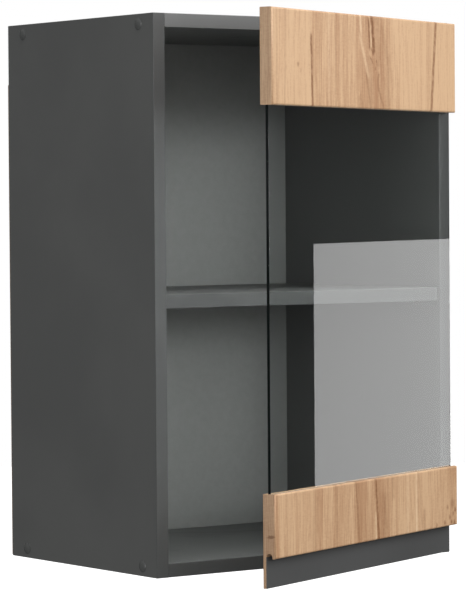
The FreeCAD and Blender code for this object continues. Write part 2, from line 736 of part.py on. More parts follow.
# The bottom rail's J-shaped foot: a thin nose in front, a half-round slot for the
# fingertips behind it, and a longer lip at the back.
bottom_rail = new_body("bottom_rail")
rail_sketch = new_sketch(bottom_rail, "bottom_rail_profile", "YZ_Plane")
STRIP_BACK = "(door_thickness - lip_thickness + grip_strip)"
SLOT_RADIUS = f"(({STRIP_BACK} - nose_thickness) / 2)"
SLOT_SPRING = "(rail_face_bottom + nose_thickness / 2)"
GROOVE_BOTTOM = "(bottom_rail_top - glass_groove_depth)"
outline(rail_sketch, [
    ("0", "rail_face_bottom"), ("nose_thickness", "rail_face_bottom"),
    ("nose_thickness", SLOT_SPRING), (STRIP_BACK, SLOT_SPRING), (STRIP_BACK, "0"),
    ("door_thickness", "0"), ("door_thickness", "bottom_rail_top"), ("0", "bottom_rail_top")])
pad(bottom_rail, rail_sketch, DOOR_WIDTH)
glass_groove(bottom_rail, "bottom_glass_groove", GROOVE_BOTTOM, "bottom_rail_top")
drill(bottom_rail, "grip_slot", "YZ_Plane", 0,
      [(f"nose_thickness + {SLOT_RADIUS}", SLOT_SPRING)], f"2 * {SLOT_RADIUS}",
      DOOR_WIDTH, True)
soften(bottom_rail, "0", "rail_corner")
soften(bottom_rail, "door_thickness", "rail_back_corner")
hinge_seats(bottom_rail, "lower", LOWER_HINGE)
place_on_door(bottom_rail)
nodes.append(bottom_rail)

strip = board_body("grip_strip", DOOR_WIDTH, "grip_strip", SLOT_SPRING)
place_on_door(strip)
strip.Tip.Profile[0].setExpression("AttachmentOffset.Base.y",
                                   link(f"{STRIP_BACK} - grip_strip"))
nodes.append(strip)

GLASS_LOW = f"({GROOVE_BOTTOM} + channel_wall)"
GLASS_HIGH = f"({GROOVE_TOP} - channel_wall)"
glass = new_body("glass_pane")
glass_sketch = new_sketch(glass, "glass_outline", "XZ_Plane",
                          "-(door_thickness - glass_thickness) / 2")
rectangle(glass_sketch, GLASS_LEFT, GLASS_LOW, GLASS_RIGHT, GLASS_HIGH)
pad(glass, glass_sketch, "glass_thickness", True)
place_on_door(glass)
nodes.append(glass)


def glazing_channel(label, closed, open_edge, pane_edge):
    """A clear U-shaped strip pressed into a rail's groove around the edge of the glass."""
    body = new_body(label)
    sketch = new_sketch(body, label + "_profile", "YZ_Plane", GLASS_LEFT)
    inner_front = f"({GROOVE_FRONT} + channel_wall)"
    inner_back = f"({GROOVE_BACK} - channel_wall)"
    outline(sketch, [
        (GROOVE_FRONT, open_edge), (inner_front, open_edge), (inner_front, pane_edge),
        (inner_back, pane_edge), (inner_back, open_edge), (GROOVE_BACK, open_edge),
        (GROOVE_BACK, closed), (GROOVE_FRONT, closed)])
    pad(body, sketch, f"{GLASS_RIGHT} - {GLASS_LEFT}")
    place_on_door(body)
    return body


nodes.append(glazing_channel("top_glazing_channel", GROOVE_TOP, TOP_RAIL_BOTTOM, GLASS_HIGH))
nodes.append(glazing_channel("bottom_glazing_channel", GROOVE_BOTTOM, "bottom_rail_top",
                             GLASS_LOW))

bumper_spots = [("bumper_from_end", "bumper_from_edge"),
                ("bumper_from_end", f"{DOOR_HEIGHT} - bumper_from_edge")]

# ---------------------------------------------------------------- door hardware


def door_buttons(label, spots, diameter, length):
    """Round pieces standing on the back of the door."""
    pieces = []
    for i, (across, up) in enumerate(spots, start=1):
        body = new_body(f"{label}_{i}")
        sketch = new_sketch(body, f"{label}_{i}_outline", "XZ_Plane", "-door_thickness")
        circle(sketch, across, up, diameter)
        pad(body, sketch, length, True)
        place_on_door(body)
        pieces.append(body)
    return group(label, pieces)


nodes.append(door_buttons("door_bumpers", bumper_spots, "bumper_diameter",
                          "bumper_thickness"))


def hinge_cup(label, height):
    """A pressed cup in the door with a flange that its two screws hold."""
    body = new_body(label)
    flange = new_sketch(body, label + "_flange", "XZ_Plane", "-door_thickness")
    rectangle(flange, f"{CUP_SCREW_X} - cup_flange_width / 2",
              f"{height} - cup_flange_length / 2", f"{CUP_SCREW_X} + cup_flange_width / 2",
              f"{height} + cup_flange_length / 2")
    pad(body, flange, "cup_flange_thickness", True)
    rim = new_sketch(body, label + "_rim", "XZ_Plane", "-door_thickness")
    circle(rim, CUP_X, height, "cup_diameter + 2 * cup_wall")
    pad(body, rim, "cup_flange_thickness", True)
    shell = new_sketch(body, label + "_shell", "XZ_Plane", "-door_thickness")
    circle(shell, CUP_X, height, "cup_diameter")
    pad(body, shell, "cup_depth")
    drill(body, label + "_hollow", "XZ_Plane", "-door_thickness - cup_flange_thickness",
          [(CUP_X, height)], "cup_diameter - 2 * cup_wall",
          "cup_depth + cup_flange_thickness - cup_wall", True)
    drill(body, label + "_screw_holes", "XZ_Plane", "-door_thickness - cup_flange_thickness",
          [(CUP_SCREW_X, f"{height} {sign} cup_screw_spacing / 2") for sign in "+-"],
          "cup_screw_diameter", "cup_flange_thickness", True)
    place_on_door(body)
    return body


nodes.append(hinge_cup("upper_hinge_cup", UPPER_HINGE))
nodes.append(hinge_cup("lower_hinge_cup", LOWER_HINGE))

cup_screws = []
for hinge, height in (("upper", UPPER_HINGE), ("lower", LOWER_HINGE)):
    for i, sign in enumerate("+-", start=1):
        screw = new_body(f"{hinge}_cup_screw_{i}")
        spot = (CUP_SCREW_X, f"{height} {sign} cup_screw_spacing / 2")
        shank = new_sketch(screw, f"{screw.Name}_shank", "XZ_Plane",
                           "-door_thickness - cup_flange_thickness")
        circle(shank, *spot, "cup_screw_diameter")
        pad(screw, shank, "cup_screw_length")
        head = new_sketch(screw, f"{screw.Name}_head", "XZ_Plane",
                          "-door_thickness - cup_flange_thickness")
        circle(head, *spot, "cup_screw_head")
        pad(screw, head, "small_head_thickness / 2", True)
        place_on_door(screw)
        cup_screws.append(screw)
nodes.append(group("hinge_cup_screws", cup_screws))

# ---------------------------------------------------------------- hinge arms and plates

# The arm is a channel, open towards the side panel, that straddles the mounting plate's
# block. A vertical pin in its nose carries the link that reaches into the cup.

FLANGE_EDGE = f"({INNER_RIGHT} - arm_setoff)"
WEB_FACE = f"({FLANGE_EDGE} - arm_width)"
PIN_X = f"({INNER_RIGHT} - link_pin_setoff)"
PIN_Y = f"({FRONT} - link_pin_front)"
LINK_ANGLE = "(link_closed_angle + link_ratio * ajar_angle)"
BLOCK_HALF = "(arm_height / 2 - arm_wall - plate_block_clearance)"
plate_screws = []
arm_screws = []
pins = []
for hinge, height in (("upper", f"({DOOR_BOTTOM} + {UPPER_HINGE})"),
                      ("lower", f"({DOOR_BOTTOM} + {LOWER_HINGE})")):
    arm = new_body(f"{hinge}_hinge_arm")
    profile = new_sketch(arm, f"{hinge}_arm_profile", "XZ_Plane")
    outline(profile, [
        ("0", "0"), ("arm_width", "0"), ("arm_width", "arm_wall"), ("arm_wall", "arm_wall"),
        ("arm_wall", "arm_height - arm_wall"), ("arm_width", "arm_height - arm_wall"),
        ("arm_width", "arm_height"), ("0", "arm_height")])
    pad(arm, profile, "arm_nose + arm_tail", True)
    drill(arm, f"{hinge}_arm_pin_hole", "XY_Plane", "arm_height",
          [("arm_width + arm_setoff - link_pin_setoff", "arm_nose - link_pin_front")],
          "link_pin_diameter", "arm_height")
    drill(arm, f"{hinge}_arm_screw_holes", "YZ_Plane", 0,
          [("arm_nose + arm_screw_front", "arm_height / 2"),
           ("arm_nose + arm_screw_back", "arm_height / 2")],
          "arm_screw_diameter", "arm_wall", True)
    place(arm, WEB_FACE, f"{FRONT} - arm_nose", f"{height} - arm_height / 2")
    nodes.append(arm)

    mounting = new_body(f"{hinge}_mounting_plate")
    foot = new_sketch(mounting, f"{hinge}_plate_foot", "YZ_Plane")
    rectangle(foot, "plate_from_front - plate_width / 2", "-plate_length / 2",
              "plate_from_front + plate_width / 2", "plate_length / 2")
    pad(mounting, foot, "plate_thickness", True)
    block = new_sketch(mounting, f"{hinge}_plate_block", "YZ_Plane")
    rectangle(block, "plate_block_front", f"-{BLOCK_HALF}", "plate_block_back", BLOCK_HALF)
    pad(mounting, block, "arm_setoff + arm_width - arm_wall", True)
    drill(mounting, f"{hinge}_plate_screw_holes", "YZ_Plane", 0,
          [("plate_from_front", f"{sign} plate_screw_spacing / 2") for sign in "+-"],
          "plate_screw_diameter", "plate_thickness")
    drill(mounting, f"{hinge}_plate_arm_holes", "YZ_Plane",
          "-(arm_setoff + arm_width - arm_wall)",
          [("arm_screw_front", "0"), ("arm_screw_back", "0")], "arm_screw_diameter",
          "arm_screw_length - arm_wall", True)
    place(mounting, INNER_RIGHT, FRONT, height)
    nodes.append(mounting)

    arm_link = new_body(f"{hinge}_hinge_link")
    strap = new_sketch(arm_link, f"{hinge}_link_strap", "XY_Plane")
    rectangle(strap, "0", "-link_thickness / 2", "link_length", "link_thickness / 2")
    pad(arm_link, strap, "link_height")
    for end, across, size in (("eye", "0", "link_eye"), ("tip", "link_length", "link_thickness")):
        rounding = new_sketch(arm_link, f"{hinge}_link_{end}", "XY_Plane")
        circle(rounding, across, "0", size)
        pad(arm_link, rounding, "link_height")
    drill(arm_link, f"{hinge}_link_bore", "XY_Plane", "link_height", [("0", "0")],
          "link_pin_diameter + 2 * link_pin_clearance", "link_height")
    place(arm_link, PIN_X, PIN_Y, f"{height} - link_height / 2", angle=LINK_ANGLE)
    nodes.append(arm_link)

    pins.append(cylinder(f"{hinge}_hinge_pin", "link_pin_diameter", "arm_height", "+Z",
                         PIN_X, PIN_Y, f"{height} - arm_height / 2"))
    for i, sign in enumerate("+-", start=1):
        spot = (f"{FRONT} + plate_from_front", f"{height} {sign} plate_screw_spacing / 2")
        name = f"{hinge}_plate_screw_{i}"
        plate_screws.append(fuse(name, [
            cylinder(name + "_shank", "plate_screw_diameter", "plate_screw_length", "+X",
                     f"{INNER_RIGHT} - plate_thickness", *spot),
            cylinder(name + "_head", "plate_screw_head", "small_head_thickness", "-X",
                     f"{INNER_RIGHT} - plate_thickness", *spot)]))
    for i, depth in enumerate(("arm_screw_front", "arm_screw_back"), start=1):
        name = f"{hinge}_arm_screw_{i}"
        spot = (f"{FRONT} + {depth}", height)
        arm_screws.append(fuse(name, [
            cylinder(name + "_shank", "arm_screw_diameter", "arm_screw_length", "+X",
                     WEB_FACE, *spot),
            cylinder(name + "_head", "arm_screw_head", "small_head_thickness", "-X",
                     WEB_FACE, *spot)]))
nodes.append(group("hinge_link_pins", pins))
nodes.append(group("mounting_plate_screws", plate_screws))
nodes.append(group("hinge_arm_screws", arm_screws))

# ---------------------------------------------------------------- build and write

doc.recompute()
for feature in doc.Objects:
    if "Invalid" in feature.State or "Error" in feature.State:
        raise RuntimeError(f"{feature.Name} failed: {feature.State}")
for piece in nodes:
    if piece.Shape.isNull() or not piece.Shape.isValid():
        raise RuntimeError(f"{piece.Label} has no valid shape")

os.makedirs("parts", exist_ok=True)
for piece in nodes:
    piece.Shape.exportStep(f"parts/{piece.Label}.step")
    print(f"{piece.Label}: {len(piece.Shape.Solids)} solids, {piece.Shape.Volume:.0f} mm3")
print(len(nodes), "nodes")
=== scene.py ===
import json
import math

import bmesh
import bpy
from mathutils import Matrix, Vector


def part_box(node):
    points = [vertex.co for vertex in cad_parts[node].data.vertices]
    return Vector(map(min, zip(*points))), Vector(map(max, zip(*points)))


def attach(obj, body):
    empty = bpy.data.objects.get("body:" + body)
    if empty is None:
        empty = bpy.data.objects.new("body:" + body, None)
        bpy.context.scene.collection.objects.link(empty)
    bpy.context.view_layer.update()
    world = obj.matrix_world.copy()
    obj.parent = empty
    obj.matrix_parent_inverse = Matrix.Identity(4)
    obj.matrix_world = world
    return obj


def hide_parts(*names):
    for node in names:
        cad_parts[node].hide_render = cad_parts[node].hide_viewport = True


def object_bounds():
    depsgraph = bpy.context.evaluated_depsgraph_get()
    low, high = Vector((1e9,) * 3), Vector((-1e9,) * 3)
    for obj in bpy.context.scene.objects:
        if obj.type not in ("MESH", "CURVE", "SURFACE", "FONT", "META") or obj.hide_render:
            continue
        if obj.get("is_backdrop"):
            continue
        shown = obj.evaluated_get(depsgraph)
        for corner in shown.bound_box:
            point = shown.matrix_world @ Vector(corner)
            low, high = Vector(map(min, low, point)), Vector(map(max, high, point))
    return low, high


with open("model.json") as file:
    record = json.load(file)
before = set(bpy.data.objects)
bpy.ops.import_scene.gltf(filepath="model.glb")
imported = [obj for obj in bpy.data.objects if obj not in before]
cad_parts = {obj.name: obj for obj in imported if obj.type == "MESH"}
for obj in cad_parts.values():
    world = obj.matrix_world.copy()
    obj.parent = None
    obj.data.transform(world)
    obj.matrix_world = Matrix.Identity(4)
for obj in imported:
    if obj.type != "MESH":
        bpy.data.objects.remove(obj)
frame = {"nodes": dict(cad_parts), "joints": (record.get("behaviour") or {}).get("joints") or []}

cad_low, cad_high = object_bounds()

# ---------------------------------------------------------------- studio
# The cabinet hangs in an open white studio: a pale floor well below it, soft even light from
# all round, three softboxes in front, one above, and a tall strip at the left that only
# adds shine. A card stands where only the glass mirrors it.

scene = bpy.context.scene
scene.view_settings.view_transform = "Standard"


def add_node(tree, kind, inputs=None, **settings):
    """A node with its settings, whose inputs are given as values or as sockets to link."""
    node = tree.nodes.new(kind)
    for name, value in settings.items():
        setattr(node, name, value)
    for name, value in (inputs or {}).items():
        if isinstance(value, bpy.types.NodeSocket):
            tree.links.new(value, node.inputs[name])
        else:
            node.inputs[name].default_value = value
    return node


def maths(tree, operation, *values, clamp=False):
    return add_node(tree, "ShaderNodeMath", dict(enumerate(values)), operation=operation,
                    use_clamp=clamp).outputs[0]


camera = bpy.data.objects.new("studio_camera", bpy.data.cameras.new("studio_camera"))
scene.collection.objects.link(camera)
camera.data.lens = 188.45
camera.data.clip_end = 60
CAMERA_SPOT = (-2.5019, -3.6394, -0.1891)
CAMERA_HEADING, CAMERA_DIP, CAMERA_ROLL = -35.9117, 1.7414, -0.4126
camera.matrix_world = (Matrix.Translation(CAMERA_SPOT)
                       @ Matrix.Rotation(math.radians(CAMERA_HEADING), 4, "Z")
                       @ Matrix.Rotation(math.radians(90 - CAMERA_DIP), 4, "X")
                       @ Matrix.Rotation(math.radians(CAMERA_ROLL), 4, "Z"))
scene.camera = camera


def plainly_seen(tree):
    """A ray's history, and whether it has come straight here or only through clear glass."""
    rays = add_node(tree, "ShaderNodeLightPath").outputs
    bounces = maths(tree, "ADD", rays["Diffuse Depth"], rays["Glossy Depth"])
    through = maths(tree, "MULTIPLY", rays["Is Transmission Ray"],
                    maths(tree, "LESS_THAN", bounces, 0.5))
    return rays, maths(tree, "MAXIMUM", rays["Is Camera Ray"], through)


STUDIO_FILL = 0.71
STUDIO_GLOSS = 0.03
studio = bpy.data.worlds.new("white_studio")
scene.world = studio
studio.use_nodes = True
surround = studio.node_tree
rays, plain_view = plainly_seen(surround)
in_glass = maths(surround, "MULTIPLY", rays["Is Transmission Ray"], rays["Glossy Depth"],
                 clamp=True)
mirrored = maths(surround, "MAXIMUM", rays["Is Glossy Ray"], in_glass)
unseen = add_node(surround, "ShaderNodeMix", {0: mirrored, 2: STUDIO_FILL, 3: STUDIO_GLOSS})
level = add_node(surround, "ShaderNodeMix", {0: plain_view, 2: unseen.outputs[0], 3: 1.0})
surround.nodes["Background"].inputs["Color"].default_value = (1, 1, 1, 1)
surround.links.new(level.outputs[0], surround.nodes["Background"].inputs["Strength"])


def softbox(name, spot, aim, width, height, watts):
    """A rectangular studio light at a spot, facing the point that it is aimed at."""
    lamp = bpy.data.lights.new(name, "AREA")
    lamp.shape = "RECTANGLE"
    lamp.size = width
    lamp.size_y = height
    lamp.energy = watts
    stand = bpy.data.objects.new(name, lamp)
    stand.location = spot
    stand.rotation_euler = (Vector(aim) - Vector(spot)).to_track_quat("-Z", "Y").to_euler()
    scene.collection.objects.link(stand)
    return stand


MIDDLE = (0, -0.3, -0.3)
softbox("right_softbox", (1.592, -1.636, 0.9), MIDDLE, 1.2, 1.2, 28.4)
softbox("front_strip", (0.207, -2.668, 0.034), MIDDLE, 1.2, 0.4, 21)
softbox("left_softbox", (-0.999, -2.442, 0.117), MIDDLE, 1.2, 1.2, 7.6)
softbox("top_softbox", (-0.143, -0.692, 2.064), MIDDLE, 1.2, 1.2, 50)
side_strip = softbox("side_strip", (-2.4, -0.25, -0.1), MIDDLE, 0.4, 2.0, 9)
side_strip.visible_diffuse = False


def finish(name, **sockets):
    """A material of one Principled shader with its plain values set on its own sockets."""
    material = bpy.data.materials.new(name)
    material.use_nodes = True
    shader = material.node_tree.nodes["Principled BSDF"].inputs
    for label, value in sockets.items():
        shader[label.replace("_", " ")].default_value = value
    return material, material.node_tree, shader


def flat_sheet(name, corners, material):
    """One sheet through four corners, for the floor and the card."""
    sheet = bpy.data.meshes.new(name)
    sheet.from_pydata(corners, [], [(0, 1, 2, 3)])
    sheet.materials.append(material)
    board = bpy.data.objects.new(name, sheet)
    scene.collection.objects.link(board)
    board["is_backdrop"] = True
    return board


FLOOR_DROP, FLOOR_REACH, FLOOR_GLOW = 4.5, 60, 0.97
floor_paint, floor_tree, floor_shader = finish(
    "studio_floor_paint", Base_Color=(0.5, 0.5, 0.5, 1), Roughness=0.9,
    Emission_Color=(1, 1, 1, 1))
floor_tree.links.new(maths(floor_tree, "MULTIPLY", plainly_seen(floor_tree)[1], FLOOR_GLOW),
                     floor_shader["Emission Strength"])
floor = flat_sheet("studio_floor", [(x * FLOOR_REACH, y * FLOOR_REACH, cad_low.z - FLOOR_DROP)
                                    for x, y in ((-1, -1), (1, -1), (1, 1), (-1, 1))],
                   floor_paint)
floor.visible_glossy = floor.visible_transmission = False

# The white card stands to the right, where only mirror-sharp reflections find it.
CARD_GLOW = 3.1
card_paper, card_tree, card_shader = finish(
    "card_paper", Base_Color=(0, 0, 0, 1), Emission_Color=(1, 1, 1, 1))
sharp = add_node(card_tree, "ShaderNodeLightPath").outputs["Is Singular Ray"]
card_tree.links.new(maths(card_tree, "MULTIPLY", sharp, CARD_GLOW),
                    card_shader["Emission Strength"])
card = flat_sheet("reflected_card", [(1.0, 0.0, -1.2), (1.0, -0.6575, -1.2),
                                     (1.0, -0.6572, -0.2536), (1.0, 0.0, -0.2320)], card_paper)
card.visible_camera = card.visible_diffuse = card.visible_shadow = False
card.visible_transmission = card.visible_volume_scatter = False

# ---------------------------------------------------------------- carcass boards
# Two sides, a top, a bottom and one shelf, sawn from 18 mm chipboard faced with anthracite
# melamine. The facing has a fine pearl that the light catches, and faint clouding.


def new_group(name, inputs, outputs):
    """An empty shader node group with named inputs and outputs."""
    group = bpy.data.node_groups.new(name, "ShaderNodeTree")
    for label, (kind, value) in inputs.items():
        socket = group.interface.new_socket(label, in_out="INPUT",
                                            socket_type="NodeSocket" + kind)
        if value is not None:
            socket.default_value = value
    for label, kind in outputs.items():
        group.interface.new_socket(label, in_out="OUTPUT", socket_type="NodeSocket" + kind)
    return (group, group.nodes.new("NodeGroupInput").outputs,
            group.nodes.new("NodeGroupOutput").inputs)


def mapped(tree, scale=(1, 1, 1), location=(0, 0, 0), rotation=(0, 0, 0), kind="POINT"):
    """The piece's own coordinates, through a Mapping node."""
    own = add_node(tree, "ShaderNodeTexCoord").outputs["Object"]
    return add_node(tree, "ShaderNodeMapping",
                    {"Vector": own, "Location": location, "Rotation": rotation,
                     "Scale": scale}, vector_type=kind).outputs["Vector"]


def noise(tree, vector, scale, detail=2, roughness=0.5, distortion=0):
    return add_node(tree, "ShaderNodeTexNoise",
                    {"Vector": vector, "Scale": scale, "Detail": detail,
                     "Roughness": roughness, "Distortion": distortion}).outputs["Fac"]


def spread(tree, value, low, high, to_low=0.0, to_high=1.0, smooth=True):
    """A value's range mapped onto another, held at its ends."""
    return add_node(tree, "ShaderNodeMapRange",
                    {"Value": value, "From Min": low, "From Max": high, "To Min": to_low,
                     "To Max": to_high},
                    interpolation_type="SMOOTHSTEP" if smooth else "LINEAR").outputs["Result"]


def shade(tree, factor, dark, light):
    """A colour between two, by a factor."""
    return add_node(tree, "ShaderNodeMix",
                    {0: factor, 6: (*dark, 1) if isinstance(dark, tuple) else dark,
                     7: (*light, 1) if isinstance(light, tuple) else light},
                    data_type="RGBA").outputs[2]


def bumped(tree, height, strength, distance):
    return add_node(tree, "ShaderNodeBump",
                    {"Height": height, "Strength": strength, "Distance": distance}).outputs[0]


skin, skin_in, skin_out = new_group(
    "pressed_texture",
    {"Vector": ("Vector", None), "Grain": ("Float", 1200.0), "Cloud": ("Float", 5.0)},
    {"Clouds": "Float", "Height": "Float", "Smudges": "Float"})
skin.links.new(noise(skin, skin_in["Vector"], skin_in["Cloud"], detail=4), skin_out["Clouds"])
pearl = noise(skin, skin_in["Vector"], skin_in["Grain"], detail=1)
skin.links.new(spread(skin, pearl, 0.35, 0.7), skin_out["Height"])
hands = noise(skin, skin_in["Vector"], 9.0, detail=5, roughness=0.6, distortion=0.6)
skin.links.new(spread(skin, hands, 0.45, 0.7), skin_out["Smudges"])
SMUDGE_LIFT = 0.06


def textured_finish(name, dark, light, roughness, grain=1200.0, relief=0.05):
    """A faced or moulded surface: fine pressed texture, faint clouding and a little smudging."""
    material, tree, shader = finish(name)
    texture = add_node(tree, "ShaderNodeGroup", node_tree=skin)
    tree.links.new(mapped(tree), texture.inputs["Vector"])
    texture.inputs["Grain"].default_value = grain
    tree.links.new(shade(tree, spread(tree, texture.outputs["Clouds"], 0.3, 0.7), dark, light),
                   shader["Base Color"])
    tree.links.new(spread(tree, texture.outputs["Smudges"], 0, 1, roughness,
                          roughness + SMUDGE_LIFT), shader["Roughness"])
    tree.links.new(bumped(tree, texture.outputs["Height"], relief, 0.0002), shader["Normal"])
    return material


FLAT_ANGLE, SHARP_ANGLE, SMOOTH_ANGLE = (math.radians(angle) for angle in (0.5, 35, 40))
MERGE_GAP = 2e-6


def worked_copy(node, material, body, arris=0.0004, segments=2):
    """A CAD node's mesh merged and with its sharp edges eased, standing for that node."""
    shape = frame["nodes"][node].data.copy()
    work = bmesh.new()
    work.from_mesh(shape)
    bmesh.ops.remove_doubles(work, verts=work.verts, dist=MERGE_GAP)
    bmesh.ops.dissolve_limit(work, angle_limit=FLAT_ANGLE, verts=work.verts, edges=work.edges)
    if arris:
        sharp_edges = [edge for edge in work.edges if len(edge.link_faces) == 2
                       and edge.calc_face_angle(0) > SHARP_ANGLE
                       and edge.calc_length() > arris]
        bmesh.ops.bevel(work, geom=sharp_edges, offset=arris, segments=segments, profile=0.5,
                        affect="EDGES", clamp_overlap=True)
    work.to_mesh(shape)
    work.free()
    shape.materials.clear()
    shape.materials.append(material)
    piece = bpy.data.objects.new(node + "_finished", shape)
    scene.collection.objects.link(piece)
    shape.shade_smooth()
    shape.set_sharp_from_angle(angle=SMOOTH_ANGLE)
    weights = piece.modifiers.new("even_normals", "WEIGHTED_NORMAL")
    weights.keep_sharp = True
    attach(piece, body)
    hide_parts(node)
    return piece


anthracite = textured_finish("anthracite_melamine", (0.102, 0.105, 0.103), (0.114, 0.117, 0.114),
                             0.44, relief=0.12)
for node in ("left_side_panel", "right_side_panel", "top_panel", "bottom_panel", "shelf"):
    worked_copy(node, anthracite, "carcass", arris=0.0003)

# ---------------------------------------------------------------- edge bands
# Anthracite ABS band, 1 mm, hot-glued to each front edge and scraped flush, so it is a
# little smoother than the boards. The top panel's band is painted a paler grey, a painted
# highlight for the light that the top edge catches from above.

band = textured_finish("anthracite_edge_band", (0.058, 0.060, 0.060), (0.064, 0.066, 0.066),
                       0.34, grain=1600.0, relief=0.06)
# Painted highlight: the top band's paler grey stands in for light caught along the top edge.
band_painted_highlight = textured_finish("anthracite_top_band", (0.122, 0.125, 0.125),
                           (0.134, 0.137, 0.137), 0.34, grain=1600.0, relief=0.06)
for board in ("left_side", "right_side", "bottom", "shelf"):
    worked_copy(f"{board}_edge_band", band, "carcass", arris=0)
worked_copy("top_edge_band", band_painted_highlight, "carcass", arris=0)

# ---------------------------------------------------------------- back panel
# Thin hard fibreboard, lacquered grey on the face that shows inside, bare brown behind. It
# lies against the boards' rear edges and is nailed to them.

lacquer, lacquer_tree, lacquer_shader = finish("lacquered_fibreboard", Coat_Roughness=0.3)
own = mapped(lacquer_tree)
fibres = noise(lacquer_tree, mapped(lacquer_tree, scale=(1, 1, 0.7)), 420.0, detail=4,
               roughness=0.7)
flecks = noise(lacquer_tree, own, 90.0, detail=6, roughness=0.75)
depth = add_node(lacquer_tree, "ShaderNodeSeparateXYZ", {0: own}).outputs["Y"]
behind = spread(lacquer_tree, depth, -0.0022, -0.0018)
face = shade(lacquer_tree, spread(lacquer_tree, flecks, 0.3, 0.7), (0.196, 0.200, 0.197),
             (0.212, 0.216, 0.213))
bare = shade(lacquer_tree, spread(lacquer_tree, fibres, 0.35, 0.68), (0.13, 0.075, 0.04),
             (0.30, 0.195, 0.115))
lacquer_tree.links.new(shade(lacquer_tree, behind, face, bare), lacquer_shader["Base Color"])
lacquer_tree.links.new(spread(lacquer_tree, behind, 0, 1, 0.5, 0.85, smooth=False),
                       lacquer_shader["Roughness"])
rough_back = maths(lacquer_tree, "MULTIPLY", fibres, behind)
lacquer_tree.links.new(bumped(lacquer_tree, rough_back, 0.5, 0.0003), lacquer_shader["Normal"])
worked_copy("back_panel", lacquer, "carcass", arris=0)

# ---------------------------------------------------------------- screws and their caps
# Steel confirmat screws draw the sides onto the top and bottom. Each wide domed cap of
# anthracite plastic plugs into a screw's hex socket and hides the head.


def new_tree(name, sizes):
    """An empty Geometry Nodes tree that takes spots, named sizes and a material."""
    tree = bpy.data.node_groups.new(name, "GeometryNodeTree")
    tree.interface.new_socket("Spots", in_out="INPUT", socket_type="NodeSocketGeometry")
    for label in sizes:
        tree.interface.new_socket(label, in_out="INPUT", socket_type="NodeSocketFloat")
    tree.interface.new_socket("Material", in_out="INPUT", socket_type="NodeSocketMaterial")
    tree.interface.new_socket("Pieces", in_out="OUTPUT", socket_type="NodeSocketGeometry")
    return tree, tree.nodes.new("NodeGroupInput").outputs


def close_tree(tree, given, shape):
    """Sets one shape out on every spot, turned as the spot says, as real mesh."""
    turn = add_node(tree, "GeometryNodeInputNamedAttribute", {"Name": "turn"},
                    data_type="FLOAT_VECTOR").outputs[0]
    placed = add_node(tree, "GeometryNodeInstanceOnPoints",
                      {"Points": given["Spots"], "Instance": shape, "Rotation": turn})
    real = add_node(tree, "GeometryNodeRealizeInstances", {0: placed.outputs[0]})
    coated = add_node(tree, "GeometryNodeSetMaterial",
                      {"Geometry": real.outputs[0], "Material": given["Material"]})
    tree.links.new(coated.outputs[0], tree.nodes.new("NodeGroupOutput").inputs[0])


def rod(tree, radius, length, rings=1, sides=32, low=0.0):
    """A closed round rod standing on a height, with rings in its end faces."""
    body = add_node(tree, "GeometryNodeMeshCylinder",
                    {"Vertices": sides, "Fill Segments": rings, "Radius": radius,
                     "Depth": length})
    rise = maths(tree, "MULTIPLY_ADD", length, 0.5, low)
    lift = add_node(tree, "ShaderNodeCombineXYZ", {"Z": rise}).outputs[0]
    return add_node(tree, "GeometryNodeTransform",
                    {"Geometry": body.outputs["Mesh"], "Translation": lift}).outputs[0]


def driven(tree, radius, length, sides=32):
    """A closed round rod that runs down from the seat, as a shank does."""
    return rod(tree, radius, length, sides=sides, low=maths(tree, "MULTIPLY", length, -1.0))


def domed(tree, shape, above, radius, rise, power):
    """Raises what lies above a height into a dome."""
    at = add_node(tree, "ShaderNodeSeparateXYZ",
                  {0: add_node(tree, "GeometryNodeInputPosition").outputs[0]}).outputs
    out = maths(tree, "SQRT", maths(tree, "ADD", maths(tree, "MULTIPLY", at["X"], at["X"]),
                                    maths(tree, "MULTIPLY", at["Y"], at["Y"])))
    share = maths(tree, "POWER", maths(tree, "DIVIDE", out, radius), power)
    up = maths(tree, "MULTIPLY", rise, maths(tree, "SUBTRACT", 1.0, share, clamp=True))
    top = add_node(tree, "FunctionNodeCompare", {0: at["Z"], 1: above}, data_type="FLOAT",
                   operation="GREATER_THAN").outputs[0]
    return add_node(tree, "GeometryNodeSetPosition",
                    {"Geometry": shape, "Selection": top,
                     "Offset": add_node(tree, "ShaderNodeCombineXYZ", {"Z": up}).outputs[0]}
                    ).outputs[0]


def joined(tree, *shapes):
    together = tree.nodes.new("GeometryNodeJoinGeometry")
    for shape in shapes:
        tree.links.new(shape, together.inputs[0])
    return together.outputs[0]


def set_out(name, tree, spots, material, body, node, slot, **sizes):
    """Runs a tree on spots, each a place and the way that the piece faces there."""
    points = bpy.data.meshes.new(name + "_spots")
    points.from_pydata([place for place, way in spots], [], [])
    turns = points.attributes.new("turn", "FLOAT_VECTOR", "POINT")
    for i, (place, way) in enumerate(spots):
        turns.data[i].vector = Vector(way).to_track_quat("Z", "Y").to_euler()
    maker = bpy.data.objects.new(name + "_maker", points)
    scene.collection.objects.link(maker)
    run = maker.modifiers.new(name, "NODES")
    run.node_group = tree
    sizes["Material"] = material
    for item in tree.interface.items_tree:
        size = item.name.replace(" ", "_")
        if item.in_out == "INPUT" and size in sizes:
            run[item.identifier] = sizes[size]
    made = bpy.data.meshes.new_from_object(
        maker.evaluated_get(bpy.context.evaluated_depsgraph_get()))
    bpy.data.objects.remove(maker)
    made.name = name
    made.shade_smooth()
    made.set_sharp_from_angle(angle=SHARP_ANGLE)
    piece = bpy.data.objects.new(name, made)
    scene.collection.objects.link(piece)
    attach(piece, body)
    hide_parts(node)


